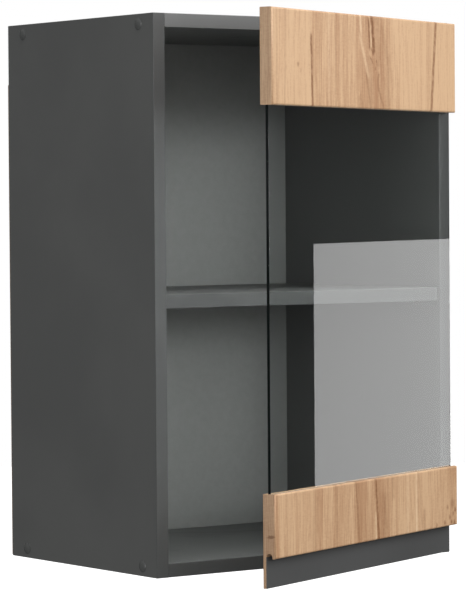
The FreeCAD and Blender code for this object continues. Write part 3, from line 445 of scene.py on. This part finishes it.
grey_cap = textured_finish("anthracite_cap_plastic", (0.085, 0.088, 0.086),
                           (0.095, 0.098, 0.096), 0.2, grain=900.0, relief=0.05)
CAP_STEM_LENGTH, CAP_STEM_LOW = 0.0022, -0.002
cap_tree, given = new_tree("domed_cap", ("Radius", "Rim", "Dome", "Stem"))
disc = rod(cap_tree, given["Radius"], given["Rim"], rings=9, sides=48)
half_rim = maths(cap_tree, "MULTIPLY", given["Rim"], 0.5)
cap_shape = domed(cap_tree, disc, half_rim, given["Radius"], given["Dome"], power=2.2)
stem = rod(cap_tree, given["Stem"], CAP_STEM_LENGTH, sides=16, low=CAP_STEM_LOW)
close_tree(cap_tree, given, joined(cap_tree, cap_shape, stem))

low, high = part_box("screw_cover_caps")
side_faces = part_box("left_side_panel")[0].x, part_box("right_side_panel")[1].x
CAP_RADIUS = 0.00775
cap_spots = [((x, y, z), (x, 0, 0)) for x in side_faces
             for y in (low.y + CAP_RADIUS, high.y - CAP_RADIUS)
             for z in (low.z + CAP_RADIUS, high.z - CAP_RADIUS)]
set_out("cover_caps", cap_tree, cap_spots, grey_cap, "carcass", "screw_cover_caps", "grey_cap",
        Radius=CAP_RADIUS, Rim=0.0004, Dome=0.0018, Stem=0.0016)

steel, steel_tree, steel_shader = finish("zinc_plated_steel", Metallic=1.0)
turning = noise(steel_tree, mapped(steel_tree), 700.0, detail=3)
steel_tree.links.new(shade(steel_tree, turning, (0.52, 0.53, 0.54), (0.66, 0.66, 0.65)),
                     steel_shader["Base Color"])
steel_tree.links.new(spread(steel_tree, turning, 0.3, 0.7, 0.22, 0.38),
                     steel_shader["Roughness"])
steel_tree.links.new(bumped(steel_tree, turning, 0.08, 0.0001), steel_shader["Normal"])


def coat_node(node, material):
    """Gives a carried-over CAD node its material."""
    faces = frame["nodes"][node].data
    faces.materials.clear()
    faces.materials.append(material)


coat_node("carcass_screws", steel)

# ---------------------------------------------------------------- dowels and shelf pegs
# Turned beech dowels locate each corner beside its screws. Four nickelled steel pegs, each
# with a collar, push into the sides and carry the loose shelf.

beech, beech_tree, beech_shader = finish("turned_beech", Roughness=0.6)
rays_of_wood = noise(beech_tree, mapped(beech_tree, scale=(0.05, 1, 1)), 900.0, detail=3)
beech_tree.links.new(shade(beech_tree, rays_of_wood, (0.42, 0.27, 0.15), (0.58, 0.40, 0.25)),
                     beech_shader["Base Color"])
coat_node("wooden_dowels", beech)

nickel, nickel_tree, nickel_shader = finish("nickel_plate", Metallic=1.0)
clouded = noise(nickel_tree, mapped(nickel_tree), 220.0, detail=4)
nickel_tree.links.new(shade(nickel_tree, clouded, (0.60, 0.57, 0.52), (0.70, 0.67, 0.62)),
                      nickel_shader["Base Color"])
nickel_tree.links.new(spread(nickel_tree, clouded, 0.3, 0.7, 0.16, 0.28),
                      nickel_shader["Roughness"])

peg_tree, given = new_tree("shelf_peg", ("Radius", "Reach", "Insert", "Collar", "Collar Rise"))
PEG_BARREL, PEG_NOSE = 0.93, 0.07
barrel = maths(peg_tree, "MULTIPLY", given["Reach"], PEG_BARREL)
reach = domed(peg_tree, rod(peg_tree, given["Radius"], barrel, rings=5),
              maths(peg_tree, "MULTIPLY", given["Reach"], 0.5), given["Radius"],
              maths(peg_tree, "MULTIPLY", given["Reach"], PEG_NOSE), power=5.0)
insert = driven(peg_tree, given["Radius"], given["Insert"])
collar = rod(peg_tree, given["Collar"], given["Collar Rise"])
close_tree(peg_tree, given, joined(peg_tree, reach, insert, collar))
inner_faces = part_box("left_side_panel")[1].x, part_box("right_side_panel")[0].x
low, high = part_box("shelf_support_pegs")
COLLAR = 0.004
peg_spots = [((x, y, (low.z + high.z) / 2), (-x, 0, 0)) for x in inner_faces
             for y in (low.y + COLLAR, high.y - COLLAR)]
set_out("shelf_pegs", peg_tree, peg_spots, nickel, "carcass", "shelf_support_pegs", "nickel",
        Radius=0.0025, Reach=0.008, Insert=0.0085, Collar=COLLAR, Collar_Rise=0.001)

# ---------------------------------------------------------------- back-panel nails
# Sixteen flat-headed steel nails, driven flush through the back into the boards' edges:
# five up each side, and three along the top and the bottom.

nail_tree, given = new_tree("flat_nail", ("Head Radius", "Head", "Shank Radius", "Length"))
head = driven(nail_tree, given["Head Radius"], given["Head"], sides=20)
shank = driven(nail_tree, given["Shank Radius"], given["Length"], sides=12)
close_tree(nail_tree, given, joined(nail_tree, head, shank))
low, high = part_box("back_panel_nails")
NAIL_HEAD = 0.0015
FIRST_SIDE_NAIL, SIDE_NAIL_STEP, LEVEL_NAIL_STEP = 0.047, 0.13225, 0.131
nail_spots = []
for i in range(5):
    rise = low.z + NAIL_HEAD + FIRST_SIDE_NAIL + i * SIDE_NAIL_STEP
    nail_spots += [(low.x + NAIL_HEAD, rise), (high.x - NAIL_HEAD, rise)]
for across in (-LEVEL_NAIL_STEP, 0, LEVEL_NAIL_STEP):
    nail_spots += [(across, low.z + NAIL_HEAD), (across, high.z - NAIL_HEAD)]
set_out("back_nails", nail_tree, [((x, 0, z), (0, 1, 0)) for x, z in nail_spots], steel,
        "carcass", "back_panel_nails", "zinc_screw", Head_Radius=NAIL_HEAD, Head=0.0006,
        Shank_Radius=0.0007, Length=0.02)

# ---------------------------------------------------------------- wall hangers
# In each top corner a moulded housing holds a steel hook that drops over a pressed wall
# plate. Two cross-head screws move the hook, and a snap-on cover hides it.

pale_plastic = textured_finish("pale_housing_plastic", (0.58, 0.58, 0.57), (0.66, 0.66, 0.65),
                               0.42, grain=700.0, relief=0.1)
cover_plastic = textured_finish("grey_cover_plastic", (0.105, 0.108, 0.11),
                                (0.125, 0.128, 0.13), 0.4, grain=700.0, relief=0.1)
sheet_zinc, zinc_tree, zinc_shader = finish("zinc_sheet", Metallic=1.0)
spangle = add_node(zinc_tree, "ShaderNodeTexVoronoi",
                   {"Vector": mapped(zinc_tree), "Scale": 260.0}).outputs["Color"]
spangle = add_node(zinc_tree, "ShaderNodeSeparateXYZ", {0: spangle}).outputs["X"]
zinc_tree.links.new(shade(zinc_tree, spangle, (0.44, 0.45, 0.46), (0.60, 0.61, 0.62)),
                    zinc_shader["Base Color"])
zinc_tree.links.new(spread(zinc_tree, spangle, 0, 1, 0.3, 0.5), zinc_shader["Roughness"])

cross_tree, given = new_tree("cross_screw", ("Head Radius", "Head", "Shank Radius", "Length",
                                             "Slot", "Slot Depth"))
HEAD_RIM, HEAD_CROWN, CROSS_LENGTH = 0.6, 0.4, 1.15
rim = maths(cross_tree, "MULTIPLY", given["Head"], HEAD_RIM)
crown = maths(cross_tree, "MULTIPLY", given["Head"], HEAD_CROWN)
head = domed(cross_tree, rod(cross_tree, given["Head Radius"], rim, rings=6),
             maths(cross_tree, "MULTIPLY", rim, 0.5), given["Head Radius"], crown, power=4.0)
arm_long = maths(cross_tree, "MULTIPLY", given["Head Radius"], CROSS_LENGTH)
sunk = cross_tree.nodes.new("GeometryNodeMeshBoolean")
sunk.operation = "DIFFERENCE"
cross_tree.links.new(head, sunk.inputs["Mesh 1"])
for wide, deep in ((arm_long, given["Slot"]), (given["Slot"], arm_long)):
    size = add_node(cross_tree, "ShaderNodeCombineXYZ",
                    {"X": wide, "Y": deep,
                     "Z": maths(cross_tree, "MULTIPLY", given["Slot Depth"], 2.0)}).outputs[0]
    bar = add_node(cross_tree, "GeometryNodeMeshCube", {"Size": size}).outputs["Mesh"]
    up = add_node(cross_tree, "ShaderNodeCombineXYZ", {"Z": given["Head"]}).outputs[0]
    raised = add_node(cross_tree, "GeometryNodeTransform", {"Geometry": bar, "Translation": up})
    cross_tree.links.new(raised.outputs[0], sunk.inputs["Mesh 2"])
shank = driven(cross_tree, given["Shank Radius"], given["Length"])
close_tree(cross_tree, given, joined(cross_tree, sunk.outputs["Mesh"], shank))

ADJUSTER_HEAD, ADJUSTER_RISE = 0.003, 0.0012
for side in ("left", "right"):
    worked_copy(f"{side}_hanger_housing", pale_plastic, "carcass")
    worked_copy(f"{side}_hanger_cover", cover_plastic, "carcass",
                arris=0.0006, segments=3)
    worked_copy(f"{side}_hanger_hook", sheet_zinc, "carcass", arris=0.0005)
    worked_copy(f"{side}_wall_plate", sheet_zinc, "carcass", arris=0.0003)
    low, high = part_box(f"{side}_hanger_screws")
    middle = (low.x + high.x) / 2
    set_out(f"{side}_adjusting_screws", cross_tree,
            [((middle, low.y + ADJUSTER_RISE, z), (0, -1, 0))
             for z in (low.z + ADJUSTER_HEAD, high.z - ADJUSTER_HEAD)],
            steel, "carcass", f"{side}_hanger_screws", "zinc_screw", Head_Radius=ADJUSTER_HEAD,
            Head=ADJUSTER_RISE, Shank_Radius=0.0028, Length=0.0078, Slot=0.0011,
            Slot_Depth=0.0009)

# ---------------------------------------------------------------- door rails
# Two rails of chipboard wrapped in honey-coloured rustic oak decor, laid with its grain
# upright, so plank joints, cracks and small knots run from top to bottom of each rail.

swing = next(joint for joint in frame["joints"] if joint["name"] == "door_swing")
AJAR = math.radians(-swing["range_deg"][0])
DOOR_WIDTH, DOOR_THICKNESS, AXIS_INSET = 0.481, 0.018, 0.006
DOOR_TURN = Matrix.Rotation(AJAR, 3, "Z")
DOOR_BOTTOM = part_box("grip_strip")[0].z
DOOR_CORNER = (Vector((swing["pos_m"][0], swing["pos_m"][1], DOOR_BOTTOM))
               - DOOR_TURN @ Vector((DOOR_WIDTH - AXIS_INSET, AXIS_INSET, 0)))

oak, oak_tree, oak_shader = finish("rustic_oak_decor")
on_door = mapped(oak_tree, location=DOOR_CORNER, rotation=(0, 0, AJAR), kind="TEXTURE")

grain, grain_in, grain_out = new_group(
    "oak_grain", {"Vector": ("Vector", None)},
    {"Figure": "Float", "Fibre": "Float", "Pores": "Float"})


def vector_maths(tree, operation, first, second):
    return add_node(tree, "ShaderNodeVectorMath", {0: first, 1: second},
                    operation=operation).outputs[0]


def stray(tree, vector, scale, reach):
    """A soft random shift of a place, by up to half of a reach each way."""
    colour = add_node(tree, "ShaderNodeTexNoise",
                      {"Vector": vector, "Scale": scale, "Detail": 2.0}).outputs["Color"]
    return vector_maths(tree, "MULTIPLY",
                        vector_maths(tree, "SUBTRACT", colour, (0.5, 0.5, 0.5)), reach)


def stretched(vector, scale):
    return vector_maths(grain, "MULTIPLY", vector, scale)


bend = stray(grain, stretched(grain_in["Vector"], (9.0, 9.0, 4.0)), 1.0, (0.016, 0.016, 0.0))
grown = vector_maths(grain, "ADD", grain_in["Vector"], bend)
long_figure = noise(grain, stretched(grown, (95.0, 95.0, 3.0)), 1.0, detail=3, roughness=0.55)
ripple = noise(grain, stretched(grain_in["Vector"], (160.0, 160.0, 420.0)), 1.0,
               distortion=0.6)
RIPPLE_SHARE = 0.4
grain.links.new(maths(grain, "MULTIPLY_ADD", maths(grain, "SUBTRACT", ripple, 0.5),
                      RIPPLE_SHARE, long_figure), grain_out["Figure"])
grain.links.new(noise(grain, stretched(grown, (620.0, 620.0, 16.0)), 1.0, detail=3,
                      roughness=0.6), grain_out["Fibre"])
dashes = noise(grain, stretched(grown, (1500.0, 1500.0, 75.0)), 1.0, detail=1)
grain.links.new(spread(grain, dashes, 0.6, 0.74), grain_out["Pores"])

streak, streak_in, streak_out = new_group(
    "oak_streak",
    {"Vector": ("Vector", None), "Across": ("Float", 0.1), "Lean": ("Float", 0.0),
     "Low": ("Float", 0.0), "High": ("Float", 0.1), "Width": ("Float", 0.002),
     "Wander": ("Float", 0.001)}, {"Mask": "Float"})
at = add_node(streak, "ShaderNodeSeparateXYZ", {0: streak_in["Vector"]}).outputs
wave = noise(streak, add_node(streak, "ShaderNodeCombineXYZ",
                              {"X": streak_in["Across"], "Z": at["Z"]}).outputs[0], 55.0,
             detail=3)
middle = maths(streak, "MULTIPLY_ADD", maths(streak, "SUBTRACT", at["Z"], streak_in["Low"]),
               streak_in["Lean"], streak_in["Across"])
middle = maths(streak, "MULTIPLY_ADD", maths(streak, "SUBTRACT", wave, 0.5),
               streak_in["Wander"], middle)
away = maths(streak, "DIVIDE", maths(streak, "ABSOLUTE",
                                     maths(streak, "SUBTRACT", at["X"], middle)),
             streak_in["Width"])
FADE = 0.004
low_end = spread(streak, maths(streak, "SUBTRACT", at["Z"], streak_in["Low"]), -FADE, FADE)
high_end = spread(streak, maths(streak, "SUBTRACT", streak_in["High"], at["Z"]), -FADE, FADE)
uneven = spread(streak, noise(streak, streak_in["Vector"], 160.0, detail=2), 0.3, 0.6, 0.55, 1.0)
length = maths(streak, "MULTIPLY", low_end, high_end)
streak.links.new(maths(streak, "MULTIPLY", maths(streak, "MULTIPLY", length, uneven),
                       spread(streak, away, 0.25, 1.0, 1.0, 0.0)), streak_out["Mask"])

knot, knot_in, knot_out = new_group(
    "oak_knot", {"Vector": ("Vector", None), "Centre": ("Vector", (0.1, 0.0, 0.1)),
                 "Radius": ("Float", 0.003)}, {"Mask": "Float"})
ragged = stray(knot, knot_in["Vector"], 300.0, (0.004, 0.0, 0.004))
offset = vector_maths(knot, "SUBTRACT", knot_in["Vector"], knot_in["Centre"])
offset = vector_maths(knot, "MULTIPLY", vector_maths(knot, "ADD", offset, ragged),
                      (1.0, 0.25, 0.8))
far = add_node(knot, "ShaderNodeVectorMath", {0: offset}, operation="LENGTH").outputs["Value"]
knot.links.new(spread(knot, maths(knot, "DIVIDE", far, knot_in["Radius"]), 0.3, 1.1, 1.0, 0.0),
               knot_out["Mask"])


def marks(listed):
    """The strongest of several streaks and knots at a point, each with its own strength."""
    mask = 0.0
    for kind, strength, where in listed:
        mark = add_node(oak_tree, "ShaderNodeGroup", node_tree=kind)
        oak_tree.links.new(on_door, mark.inputs["Vector"])
        for label, value in zip(list(mark.inputs.keys())[1:], where):
            mark.inputs[label].default_value = value
        mask = maths(oak_tree, "MAXIMUM", mask,
                     maths(oak_tree, "MULTIPLY", mark.outputs["Mask"], strength))
    return mask


# Each streak's place across, lean, low and high ends, width and wander, and each knot's
# centre and radius, in metres from the closed door's lower left front corner.
dark_marks = marks([
    (streak, 0.85, (0.0980, -0.033, 0.590, 0.686, 0.0040, 0.0020)),
    (streak, 0.78, (0.4105, 0.117, 0.590, 0.722, 0.0052, 0.0016)),
    (streak, 1.00, (0.2555, -0.125, 0.668, 0.722, 0.0055, 0.0060)),
    (streak, 0.90, (0.2440, -0.070, 0.672, 0.712, 0.0034, 0.0030)),
    (streak, 0.70, (0.2520, -0.900, 0.655, 0.664, 0.0032, 0.0020)),
    (streak, 0.70, (0.2530, -0.700, 0.668, 0.674, 0.0038, 0.0020)),
    (streak, 0.45, (0.2485, -0.260, 0.590, 0.642, 0.0038, 0.0020)),
    (streak, 0.45, (0.2800, -0.500, 0.598, 0.628, 0.0043, 0.0020)),
    (streak, 0.40, (0.2660, 0.000, 0.622, 0.642, 0.0038, 0.0020)),
    (streak, 0.35, (0.2270, -0.250, 0.590, 0.614, 0.0038, 0.0020)),
    (streak, 0.30, (0.2165, -0.050, 0.596, 0.612, 0.0038, 0.0020)),
    (streak, 0.30, (0.2920, 0.020, 0.590, 0.668, 0.0072, 0.0040)),
    (streak, 0.26, (0.2920, -0.350, 0.660, 0.705, 0.0072, 0.0040)),
    (streak, 0.25, (0.1560, 0.010, 0.590, 0.722, 0.0029, 0.0030)),
    (streak, 0.20, (0.1150, 0.000, 0.590, 0.722, 0.0038, 0.0030)),
    (streak, 0.20, (0.0290, 0.030, 0.590, 0.722, 0.0035, 0.0040)),
    (streak, 0.16, (0.0110, 0.000, 0.590, 0.722, 0.0035, 0.0040)),
    (streak, 0.10, (0.4010, 0.060, 0.590, 0.722, 0.0101, 0.0040)),
    (streak, 0.22, (0.2680, -0.040, 0.650, 0.722, 0.0120, 0.0040)),
    (streak, 0.28, (0.2470, -0.060, 0.600, 0.664, 0.0085, 0.0040)),
    (knot, 1.00, ((0.2530, 0.0, 0.6690), 0.0036)),
    (knot, 0.75, ((0.2525, 0.0, 0.6840), 0.0030)),
    (knot, 0.65, ((0.2620, 0.0, 0.6575), 0.0026)),
    (knot, 0.55, ((0.2680, 0.0, 0.6400), 0.0030)),
    (knot, 0.45, ((0.2585, 0.0, 0.6480), 0.0026)),
    (knot, 0.55, ((0.0625, 0.0, 0.6475), 0.0034)),
    (knot, 0.22, ((0.0690, 0.0, 0.6400), 0.0030)),
    (streak, 0.50, (0.2110, -0.104, 0.030, 0.120, 0.0038, 0.0016)),
    (streak, 0.85, (0.2620, -0.095, 0.030, 0.120, 0.0041, 0.0020)),
    (streak, 0.25, (0.3000, 0.000, 0.086, 0.120, 0.0058, 0.0020)),
    (streak, 0.30, (0.2780, -0.020, 0.040, 0.095, 0.0101, 0.0060)),
    (streak, 0.25, (0.3790, -0.100, 0.040, 0.120, 0.0035, 0.0030)),
    (streak, 0.40, (0.3865, 0.000, 0.036, 0.066, 0.0032, 0.0030)),
    (streak, 0.22, (0.1520, -0.020, 0.030, 0.120, 0.0043, 0.0040)),
    (streak, 0.20, (0.0960, 0.010, 0.030, 0.120, 0.0087, 0.0060)),
    (streak, 0.16, (0.0280, 0.010, 0.030, 0.120, 0.0043, 0.0060)),
    (knot, 0.80, ((0.4735, 0.0, 0.0580), 0.0036)),
    (knot, 0.60, ((0.4680, 0.0, 0.0530), 0.0036)),
    (knot, 0.55, ((0.4580, 0.0, 0.0490), 0.0036)),
    (knot, 0.55, ((0.4520, 0.0, 0.0630), 0.0036)),
    (knot, 0.75, ((0.4630, 0.0, 0.0420), 0.0032)),
    (knot, 0.75, ((0.4715, 0.0, 0.0410), 0.0032)),
    (knot, 0.60, ((0.4440, 0.0, 0.0425), 0.0036)),
    (knot, 0.45, ((0.4210, 0.0, 0.0410), 0.0040)),
    (knot, 0.45, ((0.4660, 0.0, 0.0670), 0.0070)),
    (knot, 0.80, ((0.0000, 0.006, 0.0640), 0.0022)),
])
pale_marks = marks([
    (streak, 0.70, (0.2220, -0.060, 0.688, 0.722, 0.0036, 0.0030)),
    (streak, 0.48, (0.2415, -0.420, 0.636, 0.690, 0.0048, 0.0030)),
    (streak, 0.70, (0.2480, -0.020, 0.676, 0.704, 0.0022, 0.0020)),
    (streak, 0.40, (0.1385, 0.010, 0.590, 0.722, 0.0034, 0.0040)),
    (streak, 0.60, (0.2545, -0.030, 0.034, 0.072, 0.0026, 0.0020)),
    (streak, 0.70, (0.3645, 0.000, 0.030, 0.120, 0.0028, 0.0016)),
    (streak, 0.35, (0.3400, 0.000, 0.030, 0.120, 0.0040, 0.0040)),
])

place_on_rail = add_node(oak_tree, "ShaderNodeSeparateXYZ", {0: on_door}).outputs


def planks(stops):
    """The tone of one rail's planks across the door, from 0, reddish, to 1, pale.

    The stops at the door's two edges come first.
    """
    ramp = oak_tree.nodes.new("ShaderNodeValToRGB")
    oak_tree.links.new(maths(oak_tree, "DIVIDE", place_on_rail["X"], DOOR_WIDTH), ramp.inputs[0])
    for i, (across, tone) in enumerate(stops):
        stop = (ramp.color_ramp.elements[i] if i < 2
                else ramp.color_ramp.elements.new(across / DOOR_WIDTH))
        stop.position = across / DOOR_WIDTH
        stop.color = (tone, tone, tone, 1)
    return ramp.outputs["Color"]


top_planks = planks([(0.0, 0.86), (0.481, 0.95), (0.060, 0.98), (0.095, 0.98), (0.100, 0.55),
                     (0.135, 0.62), (0.160, 0.56), (0.190, 0.66), (0.215, 0.45), (0.250, 0.34),
                     (0.285, 0.36), (0.293, 0.50), (0.300, 0.92), (0.385, 1.00), (0.405, 0.90),
                     (0.412, 0.82), (0.420, 0.96), (0.440, 1.00)])
bottom_planks = planks([(0.0, 0.46), (0.481, 0.53), (0.018, 0.77), (0.080, 0.87), (0.098, 0.61),
                        (0.155, 0.57), (0.198, 0.61), (0.206, 0.35), (0.245, 0.43),
                        (0.256, 0.41), (0.262, 0.19), (0.285, 0.33), (0.300, 0.77),
                        (0.345, 0.89), (0.380, 0.83), (0.440, 0.87), (0.458, 0.53)])
upper = spread(oak_tree, place_on_rail["Z"], 0.3, 0.4)
tone = shade(oak_tree, upper, bottom_planks, top_planks)

figure = add_node(oak_tree, "ShaderNodeGroup", node_tree=grain)
oak_tree.links.new(on_door, figure.inputs["Vector"])
tone = maths(oak_tree, "ADD", tone, spread(oak_tree, figure.outputs["Figure"], 0.25, 0.75,
                                           -0.34, 0.34))
tone = maths(oak_tree, "ADD", tone, spread(oak_tree, figure.outputs["Fibre"], 0.25, 0.75,
                                           -0.42, 0.42), clamp=True)
wood = shade(oak_tree, tone, (0.326, 0.174, 0.089), (0.500, 0.326, 0.190))
wood = shade(oak_tree, maths(oak_tree, "MULTIPLY", figure.outputs["Pores"], 0.35), wood,
             (0.24, 0.132, 0.068))
wood = shade(oak_tree, pale_marks, wood, (0.62, 0.45, 0.29))
wood = shade(oak_tree, dark_marks, wood, (0.180, 0.076, 0.028))
oak_tree.links.new(wood, oak_shader["Base Color"])
oak_tree.links.new(spread(oak_tree, figure.outputs["Fibre"], 0.3, 0.7, 0.50, 0.42),
                   oak_shader["Roughness"])
relief = maths(oak_tree, "SUBTRACT", figure.outputs["Fibre"], figure.outputs["Pores"])
oak_tree.links.new(bumped(oak_tree, relief, 0.25, 0.00025), oak_shader["Normal"])

for node in ("top_rail", "bottom_rail"):
    worked_copy(node, oak, "door", arris=0)

# An anthracite strip faces the front of the bottom rail's finger lip.
strip_finish = textured_finish("anthracite_lip_facing", (0.061, 0.062, 0.062),
                               (0.068, 0.069, 0.069), 0.4, grain=1600.0, relief=0.06)
worked_copy("grip_strip", strip_finish, "door", arris=0)

# ---------------------------------------------------------------- glass
# One pane of clear 4 mm safety glass, its arrises ground and its long edges given a polish,
# set into both rails' grooves in clear PVC channels. The edge faces are painted near-black
# and barely shiny: painted shade for the darkness that clear glass shows at its edges.

clear, clear_tree, _ = finish("clear_glass", Base_Color=(0.965, 0.985, 0.975, 1),
                              Roughness=0.0, Transmission_Weight=1.0, IOR=1.5)
output = clear_tree.nodes["Material Output"]
through = add_node(clear_tree, "ShaderNodeBsdfTransparent", {"Color": (0.88, 0.90, 0.89, 1)})
shadows = add_node(clear_tree, "ShaderNodeLightPath").outputs["Is Shadow Ray"]
either = add_node(clear_tree, "ShaderNodeMixShader",
                  {0: shadows, 1: clear_tree.nodes["Principled BSDF"].outputs[0],
                   2: through.outputs[0]})
clear_tree.links.new(either.outputs[0], output.inputs["Surface"])

# Painted shade: a near-black colour with almost no shine on the pane's edge faces.
edge_painted_dark, edge_painted_dark_tree, edge_painted_dark_shader = finish("polished_glass_edge", Roughness=0.25,
                                                  Specular_IOR_Level=0.03)
ripple = noise(edge_painted_dark_tree, mapped(edge_painted_dark_tree, scale=(1, 1, 0.1)), 300.0)
edge_painted_dark_tree.links.new(shade(edge_painted_dark_tree, ripple, (0.001, 0.002, 0.002),
                              (0.003, 0.005, 0.005)), edge_painted_dark_shader["Base Color"])

pane = worked_copy("glass_pane", clear, "door", arris=0.0003, segments=1)
pane.data.materials.append(edge_painted_dark)
along = DOOR_TURN @ Vector((1, 0, 0))
for face in pane.data.polygons:
    if abs(face.normal.dot(along)) > 0.9:
        face.material_index = 1

pvc, pvc_tree, pvc_shader = finish("clear_pvc", Roughness=0.25, Transmission_Weight=0.75,
                                   IOR=1.45)
milk = noise(pvc_tree, mapped(pvc_tree), 60.0, detail=3)
pvc_tree.links.new(shade(pvc_tree, milk, (0.72, 0.75, 0.75), (0.84, 0.86, 0.86)),
                   pvc_shader["Base Color"])
for node in ("top_glazing_channel", "bottom_glazing_channel"):
    worked_copy(node, pvc, "door", arris=0.0001, segments=1)

# ---------------------------------------------------------------- door bumpers
# Two clear PVC buttons, stuck on the back of the door near its free edge, one to each rail.
# They soften its closing.


def door_place(across, inward, up):
    """A point of the shared frame, given from the closed door's lower left front corner."""
    return DOOR_CORNER + DOOR_TURN @ Vector((across, inward, up))


BACKWARD = DOOR_TURN @ Vector((0, 1, 0))
bumper_tree, given = new_tree("domed_button", ("Radius", "Rim", "Dome"))
close_tree(bumper_tree, given,
           domed(bumper_tree, rod(bumper_tree, given["Radius"], given["Rim"], rings=7),
                 maths(bumper_tree, "MULTIPLY", given["Rim"], 0.5), given["Radius"],
                 given["Dome"], power=2.0))
BUMPER_INSET, BUMPER_HEIGHTS = 0.009, (0.030, 0.686)
set_out("closing_bumpers", bumper_tree,
        [(door_place(BUMPER_INSET, DOOR_THICKNESS, up), BACKWARD) for up in BUMPER_HEIGHTS],
        pvc, "door", "door_bumpers", "clear_pvc", Radius=0.004, Rim=0.0006, Dome=0.0008)

# ---------------------------------------------------------------- hinges
# Two nickel-plated cup hinges: a pressed cup and flange in the door, a channel arm screwed
# to a mounting plate on the side, and a link on a pin between them.

for hinge in ("upper", "lower"):
    worked_copy(f"{hinge}_hinge_cup", nickel, "door", arris=0.0003)
    worked_copy(f"{hinge}_hinge_arm", nickel, "carcass", arris=0.0005)
    worked_copy(f"{hinge}_mounting_plate", nickel, "carcass", arris=0.0005)
    worked_copy(f"{hinge}_hinge_link", nickel, "hinge_links", arris=0.0003)
coat_node("hinge_link_pins", steel)

HINGE_HEIGHTS = 0.656, 0.075
CUP_CENTRE, CUP_SEAT, CUP_SCREW_RISE = 0.449, 0.0011, 0.0225
set_out("cup_screws", cross_tree,
        [(door_place(CUP_CENTRE, DOOR_THICKNESS + CUP_SEAT, up + rise), BACKWARD)
         for up in HINGE_HEIGHTS for rise in (-CUP_SCREW_RISE, CUP_SCREW_RISE)], steel, "door",
        "hinge_cup_screws", "zinc_screw", Head_Radius=0.0032, Head=0.0007,
        Shank_Radius=0.00175, Length=0.011, Slot=0.0010, Slot_Depth=0.0006)
side_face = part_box("right_side_panel")[0].x
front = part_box("right_side_edge_band")[0].y
PLATE_CENTRE, PLATE_SEAT, PLATE_SCREW_RISE = 0.037, 0.002, 0.016
set_out("plate_screws", cross_tree,
        [((side_face - PLATE_SEAT, front + PLATE_CENTRE, DOOR_BOTTOM + up + rise), (-1, 0, 0))
         for up in HINGE_HEIGHTS for rise in (-PLATE_SCREW_RISE, PLATE_SCREW_RISE)],
        steel, "carcass", "mounting_plate_screws", "zinc_screw", Head_Radius=0.0038,
        Head=0.0014, Shank_Radius=0.0025, Length=0.013, Slot=0.0011, Slot_Depth=0.0010)
ARM_SEAT, ARM_SCREWS_BACK = 0.020, (0.027, 0.050)
set_out("arm_screws", cross_tree,
        [((side_face - ARM_SEAT, front + back, DOOR_BOTTOM + up), (-1, 0, 0))
         for up in HINGE_HEIGHTS for back in ARM_SCREWS_BACK], steel, "carcass",
        "hinge_arm_screws", "zinc_screw", Head_Radius=0.0035, Head=0.0014,
        Shank_Radius=0.0020, Length=0.008, Slot=0.0011, Slot_Depth=0.0010)

# ---------------------------------------------------------------- finish
low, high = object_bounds()
